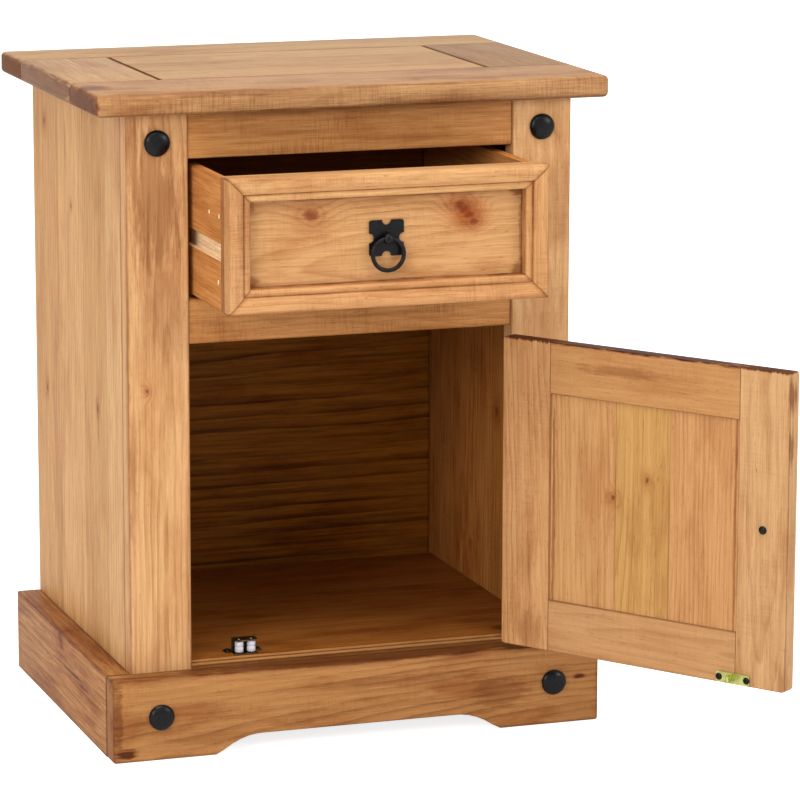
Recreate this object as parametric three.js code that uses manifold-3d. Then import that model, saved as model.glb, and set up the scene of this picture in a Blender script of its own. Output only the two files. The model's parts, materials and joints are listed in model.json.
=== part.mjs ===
// Pine nightstand: one drawer over one cupboard door, on an arched plinth.
// Millimetres, +Z up, front towards -Y, origin on the floor below the middle of the top.
import * as THREE from 'three';
import Module from 'manifold-3d';
import { mergeVertices } from 'three/addons/utils/BufferGeometryUtils.js';
import { RoundedBoxGeometry } from 'three/addons/geometries/RoundedBoxGeometry.js';

const wasm = await Module();
wasm.setup();

// Fit between parts that touch.
const gap = 0.3;

// Top, a breadboard of four border boards round a centre panel.
const top = { x: 263, y: 194, lower: 638, upper: 660, arris: 5 };
const topBoard = { frontEdge: -93, rearEdge: 107, endEdge: 172.7, groove: 4, grooveFloor: 652 };

// Carcass.
const carcass = { x: 230, front: -175, back: 192, bottom: 40, top: 637.7, board: 20 };
const stileInner = 167.5;
const rail = { recess: 2, tenon: 20, tenonFront: -168, tenonBack: -158 };
const topRail = { lower: 592.4, upper: 637.7 };
const middleRail = { lower: 410, upper: 454.7 };
const bottomRail = { lower: 40, upper: 86.2 };
const base = { front: -166.6, lower: 86.5, upper: 90, housing: 4 };
const backPanel = 4;

// Plinth.
const plinth = { x: 255.5, front: -202, frontBack: -175.3, height: 83, side: 25.2, back: 190 };
const arch = { foot: 147.3, spring: 103.2, height: 18 };

// Forged nail heads on the stiles and on the plinth.
const stud = { radius: 13, rise: 6, shank: 1.5, length: 12 };
const studOnStile = { x: 198.5, z: 609.3 };
const studOnPlinth = { x: 206.6, z: 44 };

// Drawer, modelled pulled out by drawerOut.
const drawerOut = 107;
const drawer = { x: 162.4, lower: 458, upper: 588.5, face: -171 - drawerOut, board: 10 };
const drawerMoulding = { width: 24, rise: 15.7 };
const drawerBox = { side: 11, outer: 162, lower: 458, upper: 585, length: 320 };
const drawerFloor = { lower: 464, upper: 469, tongue: 5 };
const drawerBack = { lower: 470, upper: 575, board: 11 };
const runner = { inner: 157, lower: 507.2, upper: 521.7, front: -148, back: 183 };
const runnerGroove = { depth: 6, lower: 506.4, upper: 523 };
const drawerPullHeight = 523.2;

// Door, built closed about its hinge pin and then turned open by doorOpen.
const pinAt = { x: 165.5, y: -186 };
const doorOpen = THREE.MathUtils.degToRad(125.5);
const door = { edge: -0.8, width: 330, outer: -0.5, inner: 17.5, lower: 89, upper: 404, arris: 3.5 };
const doorStile = 56;
const doorRail = 52;
const doorPanel = { outer: 7.5, inner: 15.5, tongueOuter: 9, tongueInner: 13, tongue: 7 };
const bead = { width: 12, rise: 7.6 };
const doorPullAt = { x: -303, z: 247 };
const hingeHeights = { lower: 150, upper: 350 };
const hinge = { pin: 1.6, bore: 1.9, knuckle: 3.5, half: 20, middle: 6.5, leafNear: 1.0, leafFar: 2.2 };

// Ring pull.
const plate = { size: 35, thick: 1.8, notch: 4.75, hole: 3.5 };
const post = { radius: 5.5, sleeve: 3.2, sleeveDepth: 6, front: -12.4, shoulder: -8 };
const ring = { radius: 15.7, bar: 2.15, pivot: -7.4, eye: 3.2, drop: 15.2 };
const screw = { shank: 1.9, bore: 2.2, head: 4.2 };

// Roller catch and its strike.
const rollerCatch = { x: -107.65, y: -160, half: 12, front: -165.5, back: -151, ear: 19, top: 105 };
const roller = { radius: 4.3, lower: 92, upper: 102.8, spacing: 6.3, nub: 1.2 };
const strike = { x: -273, half: 19, lower: 89.4, upper: 100.4, thick: 1.1, tip: 28.8, bulb: 1.6 };

const finishes = {
  topPine: { color: 0xdcae7c, roughness: 0.5, metalness: 0 },
  stilePine: { color: 0xdba778, roughness: 0.52, metalness: 0 },
  railPine: { color: 0xb97f50, roughness: 0.55, metalness: 0 },
  drawerPine: { color: 0xe0a66f, roughness: 0.5, metalness: 0 },
  boxPine: { color: 0xc07a42, roughness: 0.6, metalness: 0 },
  doorPine: { color: 0xc9955f, roughness: 0.55, metalness: 0 },
  darkPine: { color: 0x57341a, roughness: 0.7, metalness: 0 },
  iron: { color: 0x18171b, roughness: 0.45, metalness: 0.8 },
  brass: { color: 0xa98a4c, roughness: 0.4, metalness: 1 },
  zinc: { color: 0xb8bb6a, roughness: 0.35, metalness: 1 },
  nylon: { color: 0xcfcbd6, roughness: 0.4, metalness: 0 },
};

// ---- solids

function toSolid(geometry) {
  const bare = geometry.clone();
  bare.deleteAttribute('normal');
  bare.deleteAttribute('uv');
  const welded = mergeVertices(bare, 1e-4);
  const mesh = new wasm.Mesh({
    numProp: 3,
    vertProperties: new Float32Array(welded.attributes.position.array),
    triVerts: new Uint32Array(welded.index.array),
  });
  return new wasm.Manifold(mesh);
}

function toGeometry(solid) {
  const mesh = solid.getMesh();
  const geometry = new THREE.BufferGeometry();
  geometry.setAttribute('position', new THREE.BufferAttribute(new Float32Array(mesh.vertProperties), 3));
  geometry.setIndex(new THREE.BufferAttribute(new Uint32Array(mesh.triVerts), 1));
  geometry.computeVertexNormals();
  return geometry;
}

function cut(base, tools) {
  return toGeometry(tools.reduce((solid, tool) => solid.subtract(toSolid(tool)), toSolid(base)));
}

function join(parts) {
  return toGeometry(parts.slice(1).reduce((solid, part) => solid.add(toSolid(part)), toSolid(parts[0])));
}

function common(a, b) {
  return toGeometry(toSolid(a).intersect(toSolid(b)));
}

// ---- shapes

function box(a, b) {
  const lo = a.map((value, i) => Math.min(value, b[i]));
  const hi = a.map((value, i) => Math.max(value, b[i]));
  const size = hi.map((value, i) => value - lo[i]);
  const middle = hi.map((value, i) => (value + lo[i]) / 2);
  return new THREE.BoxGeometry(...size).translate(...middle);
}

function softBox(lo, hi, radius) {
  const size = hi.map((value, i) => value - lo[i]);
  const middle = hi.map((value, i) => (value + lo[i]) / 2);
  return new RoundedBoxGeometry(...size, 2, radius).translate(...middle);
}

// Rectangle with its corners eased; radii start at the low corner and run anticlockwise.
function easedRectangle(lo, hi, radii) {
  const corners = [[lo[0], lo[1]], [hi[0], lo[1]], [hi[0], hi[1]], [lo[0], hi[1]]];
  const shape = new THREE.Shape();
  corners.forEach((corner, i) => {
    const before = corners[(i + 3) % 4];
    const after = corners[(i + 1) % 4];
    const radius = radii[i];
    const start = corner.map((value, k) => value + Math.sign(before[k] - value) * radius);
    const end = corner.map((value, k) => value + Math.sign(after[k] - value) * radius);
    if (i === 0) shape.moveTo(...start);
    else shape.lineTo(...start);
    if (radius > 0) shape.quadraticCurveTo(...corner, ...end);
  });
  return shape;
}

// Extrudes a shape along X (drawn in Y, Z), along Y (drawn in X, Z) or along Z (drawn in X, Y).
function extrude(axis, shape, from, to, bevel = 0, curveSegments = 4) {
  const depth = to - from - 2 * bevel;
  const geometry = new THREE.ExtrudeGeometry(shape, {
    depth,
    curveSegments,
    bevelEnabled: bevel > 0,
    bevelSize: bevel,
    bevelOffset: -bevel,
    bevelThickness: bevel,
    bevelSegments: 2,
  });
  const directions = {
    x: [[0, 1, 0], [0, 0, 1], [1, 0, 0]],
    y: [[1, 0, 0], [0, 0, 1], [0, -1, 0]],
    z: [[1, 0, 0], [0, 1, 0], [0, 0, 1]],
  }[axis].map((vector) => new THREE.Vector3(...vector));
  const turned = geometry.applyMatrix4(new THREE.Matrix4().makeBasis(...directions));
  const start = axis === 'y' ? to - bevel : from + bevel;
  return turned.translate(axis === 'x' ? start : 0, axis === 'y' ? start : 0, axis === 'z' ? start : 0);
}

function easedBar(axis, lo, hi, radii) {
  const across = { x: [1, 2], y: [0, 2], z: [0, 1] }[axis];
  const along = { x: 0, y: 1, z: 2 }[axis];
  const shape = easedRectangle(across.map((k) => lo[k]), across.map((k) => hi[k]), radii);
  return extrude(axis, shape, lo[along], hi[along]);
}

function rod(axis, radius, centre, from, to, segments = 16) {
  const geometry = new THREE.CylinderGeometry(radius, radius, to - from, segments);
  geometry.translate(0, (from + to) / 2, 0);
  if (axis === 'x') geometry.rotateZ(-Math.PI / 2).translate(0, centre[0], centre[1]);
  if (axis === 'y') geometry.translate(centre[0], 0, centre[1]);
  if (axis === 'z') geometry.rotateX(Math.PI / 2).translate(centre[0], centre[1], 0);
  return geometry;
}

// Turned part about the Y axis; the profile lists [radius, y] from its low end to its high end.
function turned(profile, segments) {
  return new THREE.LatheGeometry(profile.map(([r, y]) => new THREE.Vector2(r, y)), segments);
}

// Quarter-ellipse of profile points from [radius, shoulder] to the tip on the axis.
function domeProfile(radius, shoulder, tip, count) {
  return Array.from({ length: count + 1 }, (_, i) => {
    const turn = (i / count) * (Math.PI / 2);
    const r = i === count ? 0 : radius * Math.cos(turn);
    return [r, shoulder + (tip - shoulder) * Math.sin(turn)];
  });
}

// Moulding strip with mitred ends: runs along X, its width rises along +Z, its relief along -Y.
function mitredStrip(profile, length) {
  const geometry = new THREE.ExtrudeGeometry(profile, { depth: 1, bevelEnabled: false, curveSegments: 5 });
  const position = geometry.attributes.position;
  for (let i = 0; i < position.count; i += 1) {
    const across = position.getX(i);
    const relief = position.getY(i);
    const end = position.getZ(i) * 2 - 1;
    position.setXYZ(i, end * (length / 2 - across - 0.75 * gap), -relief, across);
  }
  return geometry;
}

// Four mitred strips round a width by height rectangle, centred at [x, y, z].
function mitredFrame(profile, width, height, centre) {
  const sides = { bottom: 0, left: Math.PI / 2, top: Math.PI, right: -Math.PI / 2 };
  return Object.entries(sides).map(([side, turn]) => {
    const upright = side === 'left' || side === 'right';
    const strip = mitredStrip(profile, upright ? height : width);
    strip.translate(0, 0, -(upright ? width : height) / 2);
    return [side, strip.rotateY(turn).translate(...centre)];
  });
}

// ---- assembly helpers

const nightstand = new THREE.Group();
nightstand.name = 'nightstand';

function add(parent, name, geometry, finish) {
  const mesh = new THREE.Mesh(toGeometry(toSolid(geometry)), new THREE.MeshStandardMaterial(finishes[finish]));
  mesh.name = name;
  parent.add(mesh);
}

const sides = { left: -1, right: 1 };

// ---- top

const slab = softBox([-top.x, -top.y, top.lower], [top.x, top.y, top.upper], top.arris);

function topPiece(a, b) {
  return common(slab, box([...a, top.lower - 1], [...b, top.upper + 1]));
}

function addTop() {
  const wide = top.x + 1;
  const deep = top.y + 1;
  add(nightstand, 'top_front_board', topPiece([-wide, -deep], [wide, topBoard.frontEdge]), 'topPine');
  add(nightstand, 'top_rear_board', topPiece([-wide, topBoard.rearEdge], [wide, deep]), 'topPine');
  const near = topBoard.frontEdge + gap;
  const far = topBoard.rearEdge - gap;
  for (const [side, sign] of Object.entries(sides)) {
    const end = topPiece([sign * topBoard.endEdge, near], [sign * wide, far]);
    add(nightstand, `top_${side}_end_board`, end, 'topPine');
  }
  const tongue = topBoard.endEdge - gap;
  const field = topBoard.endEdge - topBoard.groove;
  const whole = box([-tongue, near, top.lower], [tongue, far, top.upper]);
  const rebates = Object.values(sides).map((sign) =>
    box([sign * field, near - 1, topBoard.grooveFloor], [sign * (tongue + 1), far + 1, top.upper + 1]));
  add(nightstand, 'top_centre_panel', cut(whole, rebates), 'topPine');
}

// ---- carcass

function studHole(x, face, z) {
  return rod('y', stud.shank + gap, [x, z], face - 1, face + stud.length + 0.5);
}

function railTenon(sign, level, extra) {
  const root = extra > 0 ? stileInner - 1 : stileInner - 3;
  return box(
    [sign * root, rail.tenonFront - extra, level.lower + 7 - extra],
    [sign * (stileInner + rail.tenon + extra), rail.tenonBack + extra, level.upper - 7 + extra],
  );
}

function addStile(side, sign) {
  const outer = sign * carcass.x;
  const inner = sign * stileInner;
  const radii = sign < 0 ? [3, 1, 0, 0] : [1, 3, 0, 0];
  const post = easedBar(
    'z',
    [Math.min(outer, inner), carcass.front, carcass.bottom],
    [Math.max(outer, inner), carcass.front + carcass.board, carcass.top],
    radii,
  );
  const tools = [topRail, middleRail, bottomRail].map((level) => railTenon(sign, level, gap));
  tools.push(studHole(sign * studOnStile.x, carcass.front, studOnStile.z));
  if (side === 'right') {
    for (const height of Object.values(hingeHeights)) {
      tools.push(box([inner - 1, carcass.front - 1, height - hinge.half - gap],
        [inner + 0.5, carcass.front + 18.3, height + hinge.half + gap]));
    }
  }
  add(nightstand, `${side}_stile`, cut(post, tools), 'stilePine');
}

function addRail(name, level, recess, finish) {
  const front = carcass.front + recess;
  const shoulder = stileInner - gap;
  const body = easedBar('x', [-shoulder, front, level.lower], [shoulder, front + carcass.board, level.upper],
    [1, 0, 0, 1]);
  add(nightstand, name, join([body, railTenon(-1, level, 0), railTenon(1, level, 0)]), finish);
}

function addCarcass() {
  for (const [side, sign] of Object.entries(sides)) {
    addStile(side, sign);
    const outer = sign * carcass.x;
    const inner = sign * (carcass.x - carcass.board);
    const panel = easedBar(
      'z',
      [Math.min(outer, inner), carcass.front + carcass.board + gap, carcass.bottom],
      [Math.max(outer, inner), carcass.back, carcass.top],
      sign < 0 ? [0, 0, 0, 2] : [0, 0, 2, 0],
    );
    const housing = box(
      [sign * (carcass.x - carcass.board - 1), carcass.front, base.lower - gap],
      [inner + sign * (base.housing + gap), carcass.back - backPanel, base.upper + gap],
    );
    add(nightstand, `${side}_side_panel`, cut(panel, [housing]), 'stilePine');
  }
  addRail('top_rail', topRail, rail.recess, 'railPine');
  addRail('middle_rail', middleRail, rail.recess, 'railPine');
  addRail('bottom_rail', bottomRail, 0.5, 'railPine');

  const between = carcass.x - carcass.board;
  const basePanel = join([
    box([-(stileInner - gap), base.front, base.lower], [stileInner - gap, 0, base.upper]),
    box([-(between + base.housing), carcass.front + carcass.board + gap, base.lower],
      [between + base.housing, carcass.back - backPanel - gap, base.upper]),
  ]);
  add(nightstand, 'base_panel', basePanel, 'darkPine');
  const rear = box([-(between - gap), carcass.back - backPanel, carcass.bottom],
    [between - gap, carcass.back, carcass.top]);
  add(nightstand, 'back_panel', rear, 'darkPine');
  for (const [side, sign] of Object.entries(sides)) {
    const strip = box([sign * (between - gap), runner.front, runner.lower],
      [sign * runner.inner, runner.back, runner.upper]);
    add(nightstand, `${side}_drawer_runner`, strip, 'boxPine');
  }
}

// ---- plinth

function addPlinth() {
  const outline = new THREE.Shape();
  outline.moveTo(-plinth.x, 0);
  outline.lineTo(-arch.foot, 0);
  outline.quadraticCurveTo(-(arch.foot + arch.spring) / 2, arch.height, -arch.spring, arch.height);
  outline.lineTo(arch.spring, arch.height);
  outline.quadraticCurveTo((arch.foot + arch.spring) / 2, arch.height, arch.foot, 0);
  outline.lineTo(plinth.x, 0);
  outline.lineTo(plinth.x, plinth.height);
  outline.lineTo(-plinth.x, plinth.height);
  const front = extrude('y', outline, plinth.front, plinth.frontBack, 2, 6);
  const holes = Object.values(sides).map((sign) => studHole(sign * studOnPlinth.x, plinth.front, studOnPlinth.z));
  add(nightstand, 'plinth_front', cut(front, holes), 'stilePine');
  for (const [side, sign] of Object.entries(sides)) {
    const outer = sign * plinth.x;
    const inner = sign * (plinth.x - plinth.side);
    const board = easedBar(
      'y',
      [Math.min(outer, inner), plinth.frontBack + gap, 0],
      [Math.max(outer, inner), plinth.back, plinth.height],
      sign < 0 ? [2, 0, 0, 2] : [0, 2, 2, 0],
    );
    add(nightstand, `plinth_${side}`, board, 'stilePine');
  }
}

function addStuds() {
  const profile = [[0, -stud.length], [stud.shank, -stud.length], [stud.shank, gap], [stud.radius, gap]];
  profile.push(...domeProfile(stud.radius, gap + 0.7, gap + stud.rise, 5));
  for (const [side, sign] of Object.entries(sides)) {
    const upper = turned(profile, 24).rotateX(Math.PI);
    upper.translate(sign * studOnStile.x, carcass.front, studOnStile.z);
    add(nightstand, `${side}_stile_stud`, upper, 'iron');
    const lower = turned(profile, 24).rotateX(Math.PI);
    lower.translate(sign * studOnPlinth.x, plinth.front, studOnPlinth.z);
    add(nightstand, `${side}_plinth_stud`, lower, 'iron');
  }
}

// ---- ring pull, built about its own centre on a face that looks towards -Y

function pullHole(boardThickness, at) {
  return [
    rod('y', plate.hole, [at.x, at.z], at.y - 1, at.y + post.sleeveDepth + gap),
    rod('y', screw.bore, [at.x, at.z], at.y, at.y + boardThickness + 1),
  ];
}

function addPull(parent, prefix, at, boardThickness) {
  const half = plate.size / 2;
  const blank = extrude('y', easedRectangle([-half, -half], [half, half], [3, 3, 3, 3]), -gap - plate.thick, -gap);
  const centres = [[-half, 0], [half, 0], [0, -half], [0, half]];
  const tools = centres.map((centre) => rod('y', plate.notch, centre, -5, 2, 20));
  tools.push(rod('y', plate.hole, [0, 0], -5, 2));
  const place = (geometry) => geometry.translate(at.x, at.y, at.z);
  add(parent, `${prefix}_pull_plate`, place(cut(blank, tools)), 'iron');

  const back = -2 * gap - plate.thick;
  const profile = domeProfile(post.radius, post.shoulder, post.front, 5).reverse();
  profile.push([post.radius, back], [post.sleeve, back], [post.sleeve, post.sleeveDepth]);
  profile.push([screw.bore, post.sleeveDepth], [screw.bore, back + 0.4], [0, back + 0.4]);
  const eye = rod('x', ring.eye, [ring.pivot, 0], -10, 10, 20);
  add(parent, `${prefix}_pull_post`, place(cut(turned(profile, 24), [eye])), 'iron');

  const seat = boardThickness + gap;
  const screwProfile = [[0, back + 0.8], [screw.shank, back + 0.8], [screw.shank, seat], [screw.head, seat]];
  screwProfile.push(...domeProfile(screw.head, seat + 0.6, seat + 2.3, 3));
  add(parent, `${prefix}_pull_screw`, place(turned(screwProfile, 16)), 'iron');

  const loop = new THREE.TorusGeometry(ring.radius, ring.bar, 10, 36).rotateX(Math.PI / 2);
  add(parent, `${prefix}_pull_ring`, place(loop.translate(0, ring.pivot, -ring.drop)), 'iron');
}

// ---- drawer

function drawerProfile() {
  const shape = new THREE.Shape();
  const { width, rise } = drawerMoulding;
  shape.moveTo(0, 0);
  shape.lineTo(0, rise - 4);
  shape.quadraticCurveTo(0, rise, 4, rise);
  shape.quadraticCurveTo(11.5, rise, 17, rise - 3.2);
  shape.lineTo(17, rise - 4.4);
  shape.bezierCurveTo(21, rise - 4.4, 20.5, 2, width, 2);
  shape.lineTo(width, 0);
  return shape;
}

function addDrawer() {
  const group = new THREE.Group();
  group.name = 'drawer';
  nightstand.add(group);
  const inside = drawer.face + drawer.board;
  const sideInner = drawerBox.outer - drawerBox.side;
  const pull = { x: 0, y: drawer.face, z: drawerPullHeight };

  const front = box([-drawer.x, drawer.face, drawer.lower], [drawer.x, inside, drawer.upper]);
  const floorGroove = box([-(sideInner + 5.3), inside - 4, drawerFloor.lower - gap],
    [sideInner + 5.3, inside + 1, drawerFloor.upper + gap]);
  add(group, 'drawer_front_board', cut(front, [floorGroove, ...pullHole(drawer.board, pull)]), 'drawerPine');

  const middle = [0, drawer.face - gap, (drawer.lower + drawer.upper) / 2];
  const strips = mitredFrame(drawerProfile(), 2 * drawer.x, drawer.upper - drawer.lower, middle);
  for (const [side, strip] of strips) {
    add(group, `drawer_${side}_moulding`, strip, 'drawerPine');
  }

  const start = inside + gap;
  const end = start + drawerBox.length;
  for (const [side, sign] of Object.entries(sides)) {
    const board = box([sign * sideInner, start, drawerBox.lower], [sign * drawerBox.outer, end, drawerBox.upper]);
    const grooves = [
      box([sign * (drawerBox.outer - runnerGroove.depth), start - 1, runnerGroove.lower],
        [sign * (drawerBox.outer + 1), end + 1, runnerGroove.upper]),
      box([sign * (sideInner - 1), start - 1, drawerFloor.lower - gap],
        [sign * (sideInner + drawerFloor.tongue + gap), end + 1, drawerFloor.upper + gap]),
    ];
    add(group, `drawer_${side}_side`, cut(board, grooves), 'boxPine');
  }
  const reach = sideInner + drawerFloor.tongue;
  const floor = box([-reach, inside - 3.7, drawerFloor.lower], [reach, end, drawerFloor.upper]);
  add(group, 'drawer_bottom', floor, 'boxPine');
  const rear = box([-(sideInner - gap), end - drawerBack.board, drawerBack.lower],
    [sideInner - gap, end, drawerBack.upper]);
  add(group, 'drawer_back', rear, 'boxPine');
  addPull(group, 'drawer', pull, drawer.board);
}

// ---- door, in its own frame with the hinge pin at x = y = 0

function beadProfile() {
  const shape = new THREE.Shape();
  shape.moveTo(0, 0);
  shape.lineTo(0, bead.rise - 1.5);
  shape.quadraticCurveTo(0, bead.rise, 1.5, bead.rise);
  shape.quadraticCurveTo(5, bead.rise, 6, bead.rise - 2.5);
  shape.lineTo(6, bead.rise - 3.4);
  shape.bezierCurveTo(9, bead.rise - 3.4, 8.5, 1.6, bead.width, 1.6);
  shape.lineTo(bead.width, 0);
  return shape;
}

function addDoorFrame(group) {
  const freeEdge = door.edge - door.width;
  const blank = softBox([freeEdge, door.outer, door.lower], [door.edge, door.inner + 20, door.upper], door.arris);
  const member = (lo, hi) => common(blank, box([lo[0], door.outer - 1, lo[1]], [hi[0], door.inner, hi[1]]));
  const groove = (lo, hi) => box([lo[0], doorPanel.tongueOuter - gap, lo[1]],
    [hi[0], doorPanel.tongueInner + gap, hi[1]]);
  const depth = doorPanel.tongue + gap;
  const left = freeEdge + doorStile;
  const right = door.edge - doorStile;
  const pull = { x: doorPullAt.x, y: door.outer, z: doorPullAt.z };
  const thickness = door.inner - door.outer;

  const freeStile = member([freeEdge - 1, door.lower - 1], [left, door.upper + 1]);
  const freeTools = [groove([left - depth, door.lower - 1], [left + 1, door.upper + 1])];
  add(group, 'door_free_stile', cut(freeStile, [...freeTools, ...pullHole(thickness, pull)]), 'doorPine');

  const hingeStile = member([right, door.lower - 1], [1, door.upper + 1]);
  const hingeTools = [groove([right - 1, door.lower - 1], [right + depth, door.upper + 1])];
  for (const height of Object.values(hingeHeights)) {
    hingeTools.push(rod('z', hinge.knuckle + 0.4, [0, 0], height - hinge.half - 2, height + hinge.half + 2, 24));
    hingeTools.push(box([-hinge.leafFar - gap, 2, height - hinge.half - gap],
      [1, 14.3, height + hinge.half + gap]));
  }
  add(group, 'door_hinge_stile', cut(hingeStile, hingeTools), 'doorPine');

  const shoulders = [left + gap, right - gap];
  const rails = {
    top: [door.upper - doorRail, door.upper, door.upper - doorRail - 1, door.upper - doorRail + depth],
    bottom: [door.lower, door.lower + doorRail, door.lower + doorRail - depth, door.lower + doorRail + 1],
  };
  for (const [name, [lower, upper, grooveLower, grooveUpper]] of Object.entries(rails)) {
    const outside = name === 'top' ? [lower, upper + 1] : [lower - 1, upper];
    const body = member([shoulders[0], outside[0]], [shoulders[1], outside[1]]);
    const tenon = box([left - doorPanel.tongue, doorPanel.tongueOuter, lower],
      [right + doorPanel.tongue, doorPanel.tongueInner, upper]);
    const channel = groove([left - 20, grooveLower], [right + 20, grooveUpper]);
    add(group, `door_${name}_rail`, cut(join([body, tenon]), [channel]), 'doorPine');
  }

  const panelLower = door.lower + doorRail + gap;
  const panelUpper = door.upper - doorRail - gap;
  const panel = join([
    box([shoulders[0], doorPanel.outer, panelLower], [shoulders[1], doorPanel.inner, panelUpper]),
    box([left - doorPanel.tongue + gap, doorPanel.tongueOuter, panelLower - doorPanel.tongue + gap],
      [right + doorPanel.tongue - gap, doorPanel.tongueInner, panelUpper + doorPanel.tongue - gap]),
  ]);
  add(group, 'door_panel', panel, 'doorPine');

  const middle = [(left + right) / 2, doorPanel.outer - gap, (panelLower + panelUpper) / 2];
  const beads = mitredFrame(beadProfile(), right - left - 2 * gap, panelUpper - panelLower, middle);
  for (const [side, strip] of beads) {
    add(group, `door_${side}_bead`, strip, 'doorPine');
  }
  addPull(group, 'door', pull, thickness);
}

function strikePlate() {
  const lo = [strike.x - strike.half, strike.lower];
  const hi = [strike.x + strike.half, strike.upper];
  const back = door.inner + gap;
  const front = back + strike.thick;
  return join([
    extrude('y', easedRectangle(lo, hi, [3, 3, 3, 3]), back, front),
    box([strike.x - 0.6, back + 0.5, 92.5], [strike.x + 0.6, strike.tip, 99.8]),
    rod('z', strike.bulb, [strike.x, strike.tip], 92.5, 99.8),
  ]);
}

// ---- hinges: x and y from the pin, z from the hinge centre

function barrel(from, to) {
  return cut(rod('z', hinge.knuckle, [0, 0], from, to, 20), [rod('z', hinge.bore, [0, 0], from - 1, to + 1, 16)]);
}

function fixedLeaf() {
  const near = hinge.middle + gap;
  const clear = hinge.knuckle + 0.4;
  return join([
    box([hinge.leafNear, clear, -hinge.half], [hinge.leafFar, 29, hinge.half]),
    box([hinge.leafNear, 2.2, -hinge.half], [hinge.leafFar, clear + 1, -near]),
    box([hinge.leafNear, 2.2, near], [hinge.leafFar, clear + 1, hinge.half]),
    barrel(-hinge.half, -near),
    barrel(near, hinge.half),
  ]);
}

function movingLeaf() {
  const clear = hinge.knuckle + 0.4;
  return join([
    box([-hinge.leafFar, clear, -hinge.half], [-hinge.leafNear, 14, hinge.half]),
    box([-hinge.leafFar, 2.2, -hinge.middle], [-hinge.leafNear, clear + 1, hinge.middle]),
    barrel(-hinge.middle, hinge.middle),
  ]);
}

function hingePin() {
  const profile = [[0, -21.5], [2.8, -21.5], [2.8, -20.3], [hinge.pin, -20.3]];
  profile.push([hinge.pin, 20.3], [2.8, 20.3], [2.8, 21.5], [0, 21.5]);
  return turned(profile, 16).rotateX(Math.PI / 2);
}

function addDoor() {
  const group = new THREE.Group();
  group.name = 'door';
  group.position.set(pinAt.x, pinAt.y, 0);
  group.rotation.z = doorOpen;
  nightstand.add(group);
  addDoorFrame(group);
  add(group, 'door_strike', strikePlate(), 'zinc');
  for (const [level, height] of Object.entries(hingeHeights)) {
    add(group, `${level}_hinge_moving_leaf`, movingLeaf().translate(0, 0, height), 'brass');
    const fixed = fixedLeaf().translate(pinAt.x, pinAt.y, height);
    add(nightstand, `${level}_hinge_fixed_leaf`, fixed, 'brass');
    add(nightstand, `${level}_hinge_pin`, hingePin().translate(pinAt.x, pinAt.y, height), 'brass');
  }
}

// ---- roller catch on the base panel

function addCatch() {
  const { x, y, half, front, back, ear, top: lid } = rollerCatch;
  const floor = base.upper + gap;
  const cage = join([
    box([x - half, front, floor], [x + half, back, floor + 1]),
    box([x - ear, back - 3, floor], [x + ear, back + 7, floor + 1]),
    box([x - half, back - 1, floor], [x + half, back, lid]),
    box([x - half, front, lid - 1], [x + half, back, lid]),
  ]);
  const tools = Object.values(sides).flatMap((sign) => [
    rod('z', roller.nub + gap, [x + sign * roller.spacing, y], floor - 1, lid + 1),
    rod('z', 1.7, [x + sign * 15, back + 2], floor - 1, floor + 2),
  ]);
  add(nightstand, 'catch_cage', cut(cage, tools), 'zinc');
  for (const [side, sign] of Object.entries(sides)) {
    const profile = [[0, floor + 0.2], [roller.nub, floor + 0.2], [roller.nub, roller.lower]];
    profile.push([roller.radius, roller.lower], [roller.radius, roller.upper]);
    profile.push([roller.nub, roller.upper], [roller.nub, lid - 0.2], [0, lid - 0.2]);
    const wheel = turned(profile, 20).rotateX(Math.PI / 2);
    add(nightstand, `${side}_catch_roller`, wheel.translate(x + sign * roller.spacing, y, 0), 'nylon');
  }
}

addTop();
addCarcass();
addPlinth();
addStuds();
addDrawer();
addDoor();
addCatch();

export default nightstand;
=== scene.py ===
import json
import math

import bmesh
import bpy
import numpy as np
from mathutils import Matrix, Vector


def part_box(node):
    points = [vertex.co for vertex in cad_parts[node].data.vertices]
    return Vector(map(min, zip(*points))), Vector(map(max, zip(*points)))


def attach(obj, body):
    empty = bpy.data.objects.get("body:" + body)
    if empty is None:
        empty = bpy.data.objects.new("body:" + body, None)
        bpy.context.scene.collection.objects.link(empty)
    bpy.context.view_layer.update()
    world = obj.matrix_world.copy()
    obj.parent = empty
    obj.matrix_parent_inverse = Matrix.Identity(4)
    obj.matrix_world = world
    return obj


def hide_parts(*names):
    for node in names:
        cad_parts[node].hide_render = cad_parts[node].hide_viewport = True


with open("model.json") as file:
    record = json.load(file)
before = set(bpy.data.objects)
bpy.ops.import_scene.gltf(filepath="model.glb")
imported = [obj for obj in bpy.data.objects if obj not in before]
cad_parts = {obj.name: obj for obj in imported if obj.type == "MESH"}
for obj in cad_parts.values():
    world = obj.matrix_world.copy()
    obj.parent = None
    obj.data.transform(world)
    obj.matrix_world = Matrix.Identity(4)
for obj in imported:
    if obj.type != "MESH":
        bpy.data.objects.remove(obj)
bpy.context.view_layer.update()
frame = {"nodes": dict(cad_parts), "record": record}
bodyOf = {node: body for body, nodes in frame["record"]["behaviour"]["bodies"].items() for node in nodes}
print("frame loaded:", len(bodyOf), "nodes")

mm = 0.001


cameraSet = {
    "place": (-1.262927, -3.977712, 1.156602),
    "azimuth": 18.999,     # degrees, looking towards +X from +Y
    "down": 11.424,
    "roll": 0.135,
    "lens": 185.48,
    "shift": (0.0045, -0.0033),
}


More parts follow.
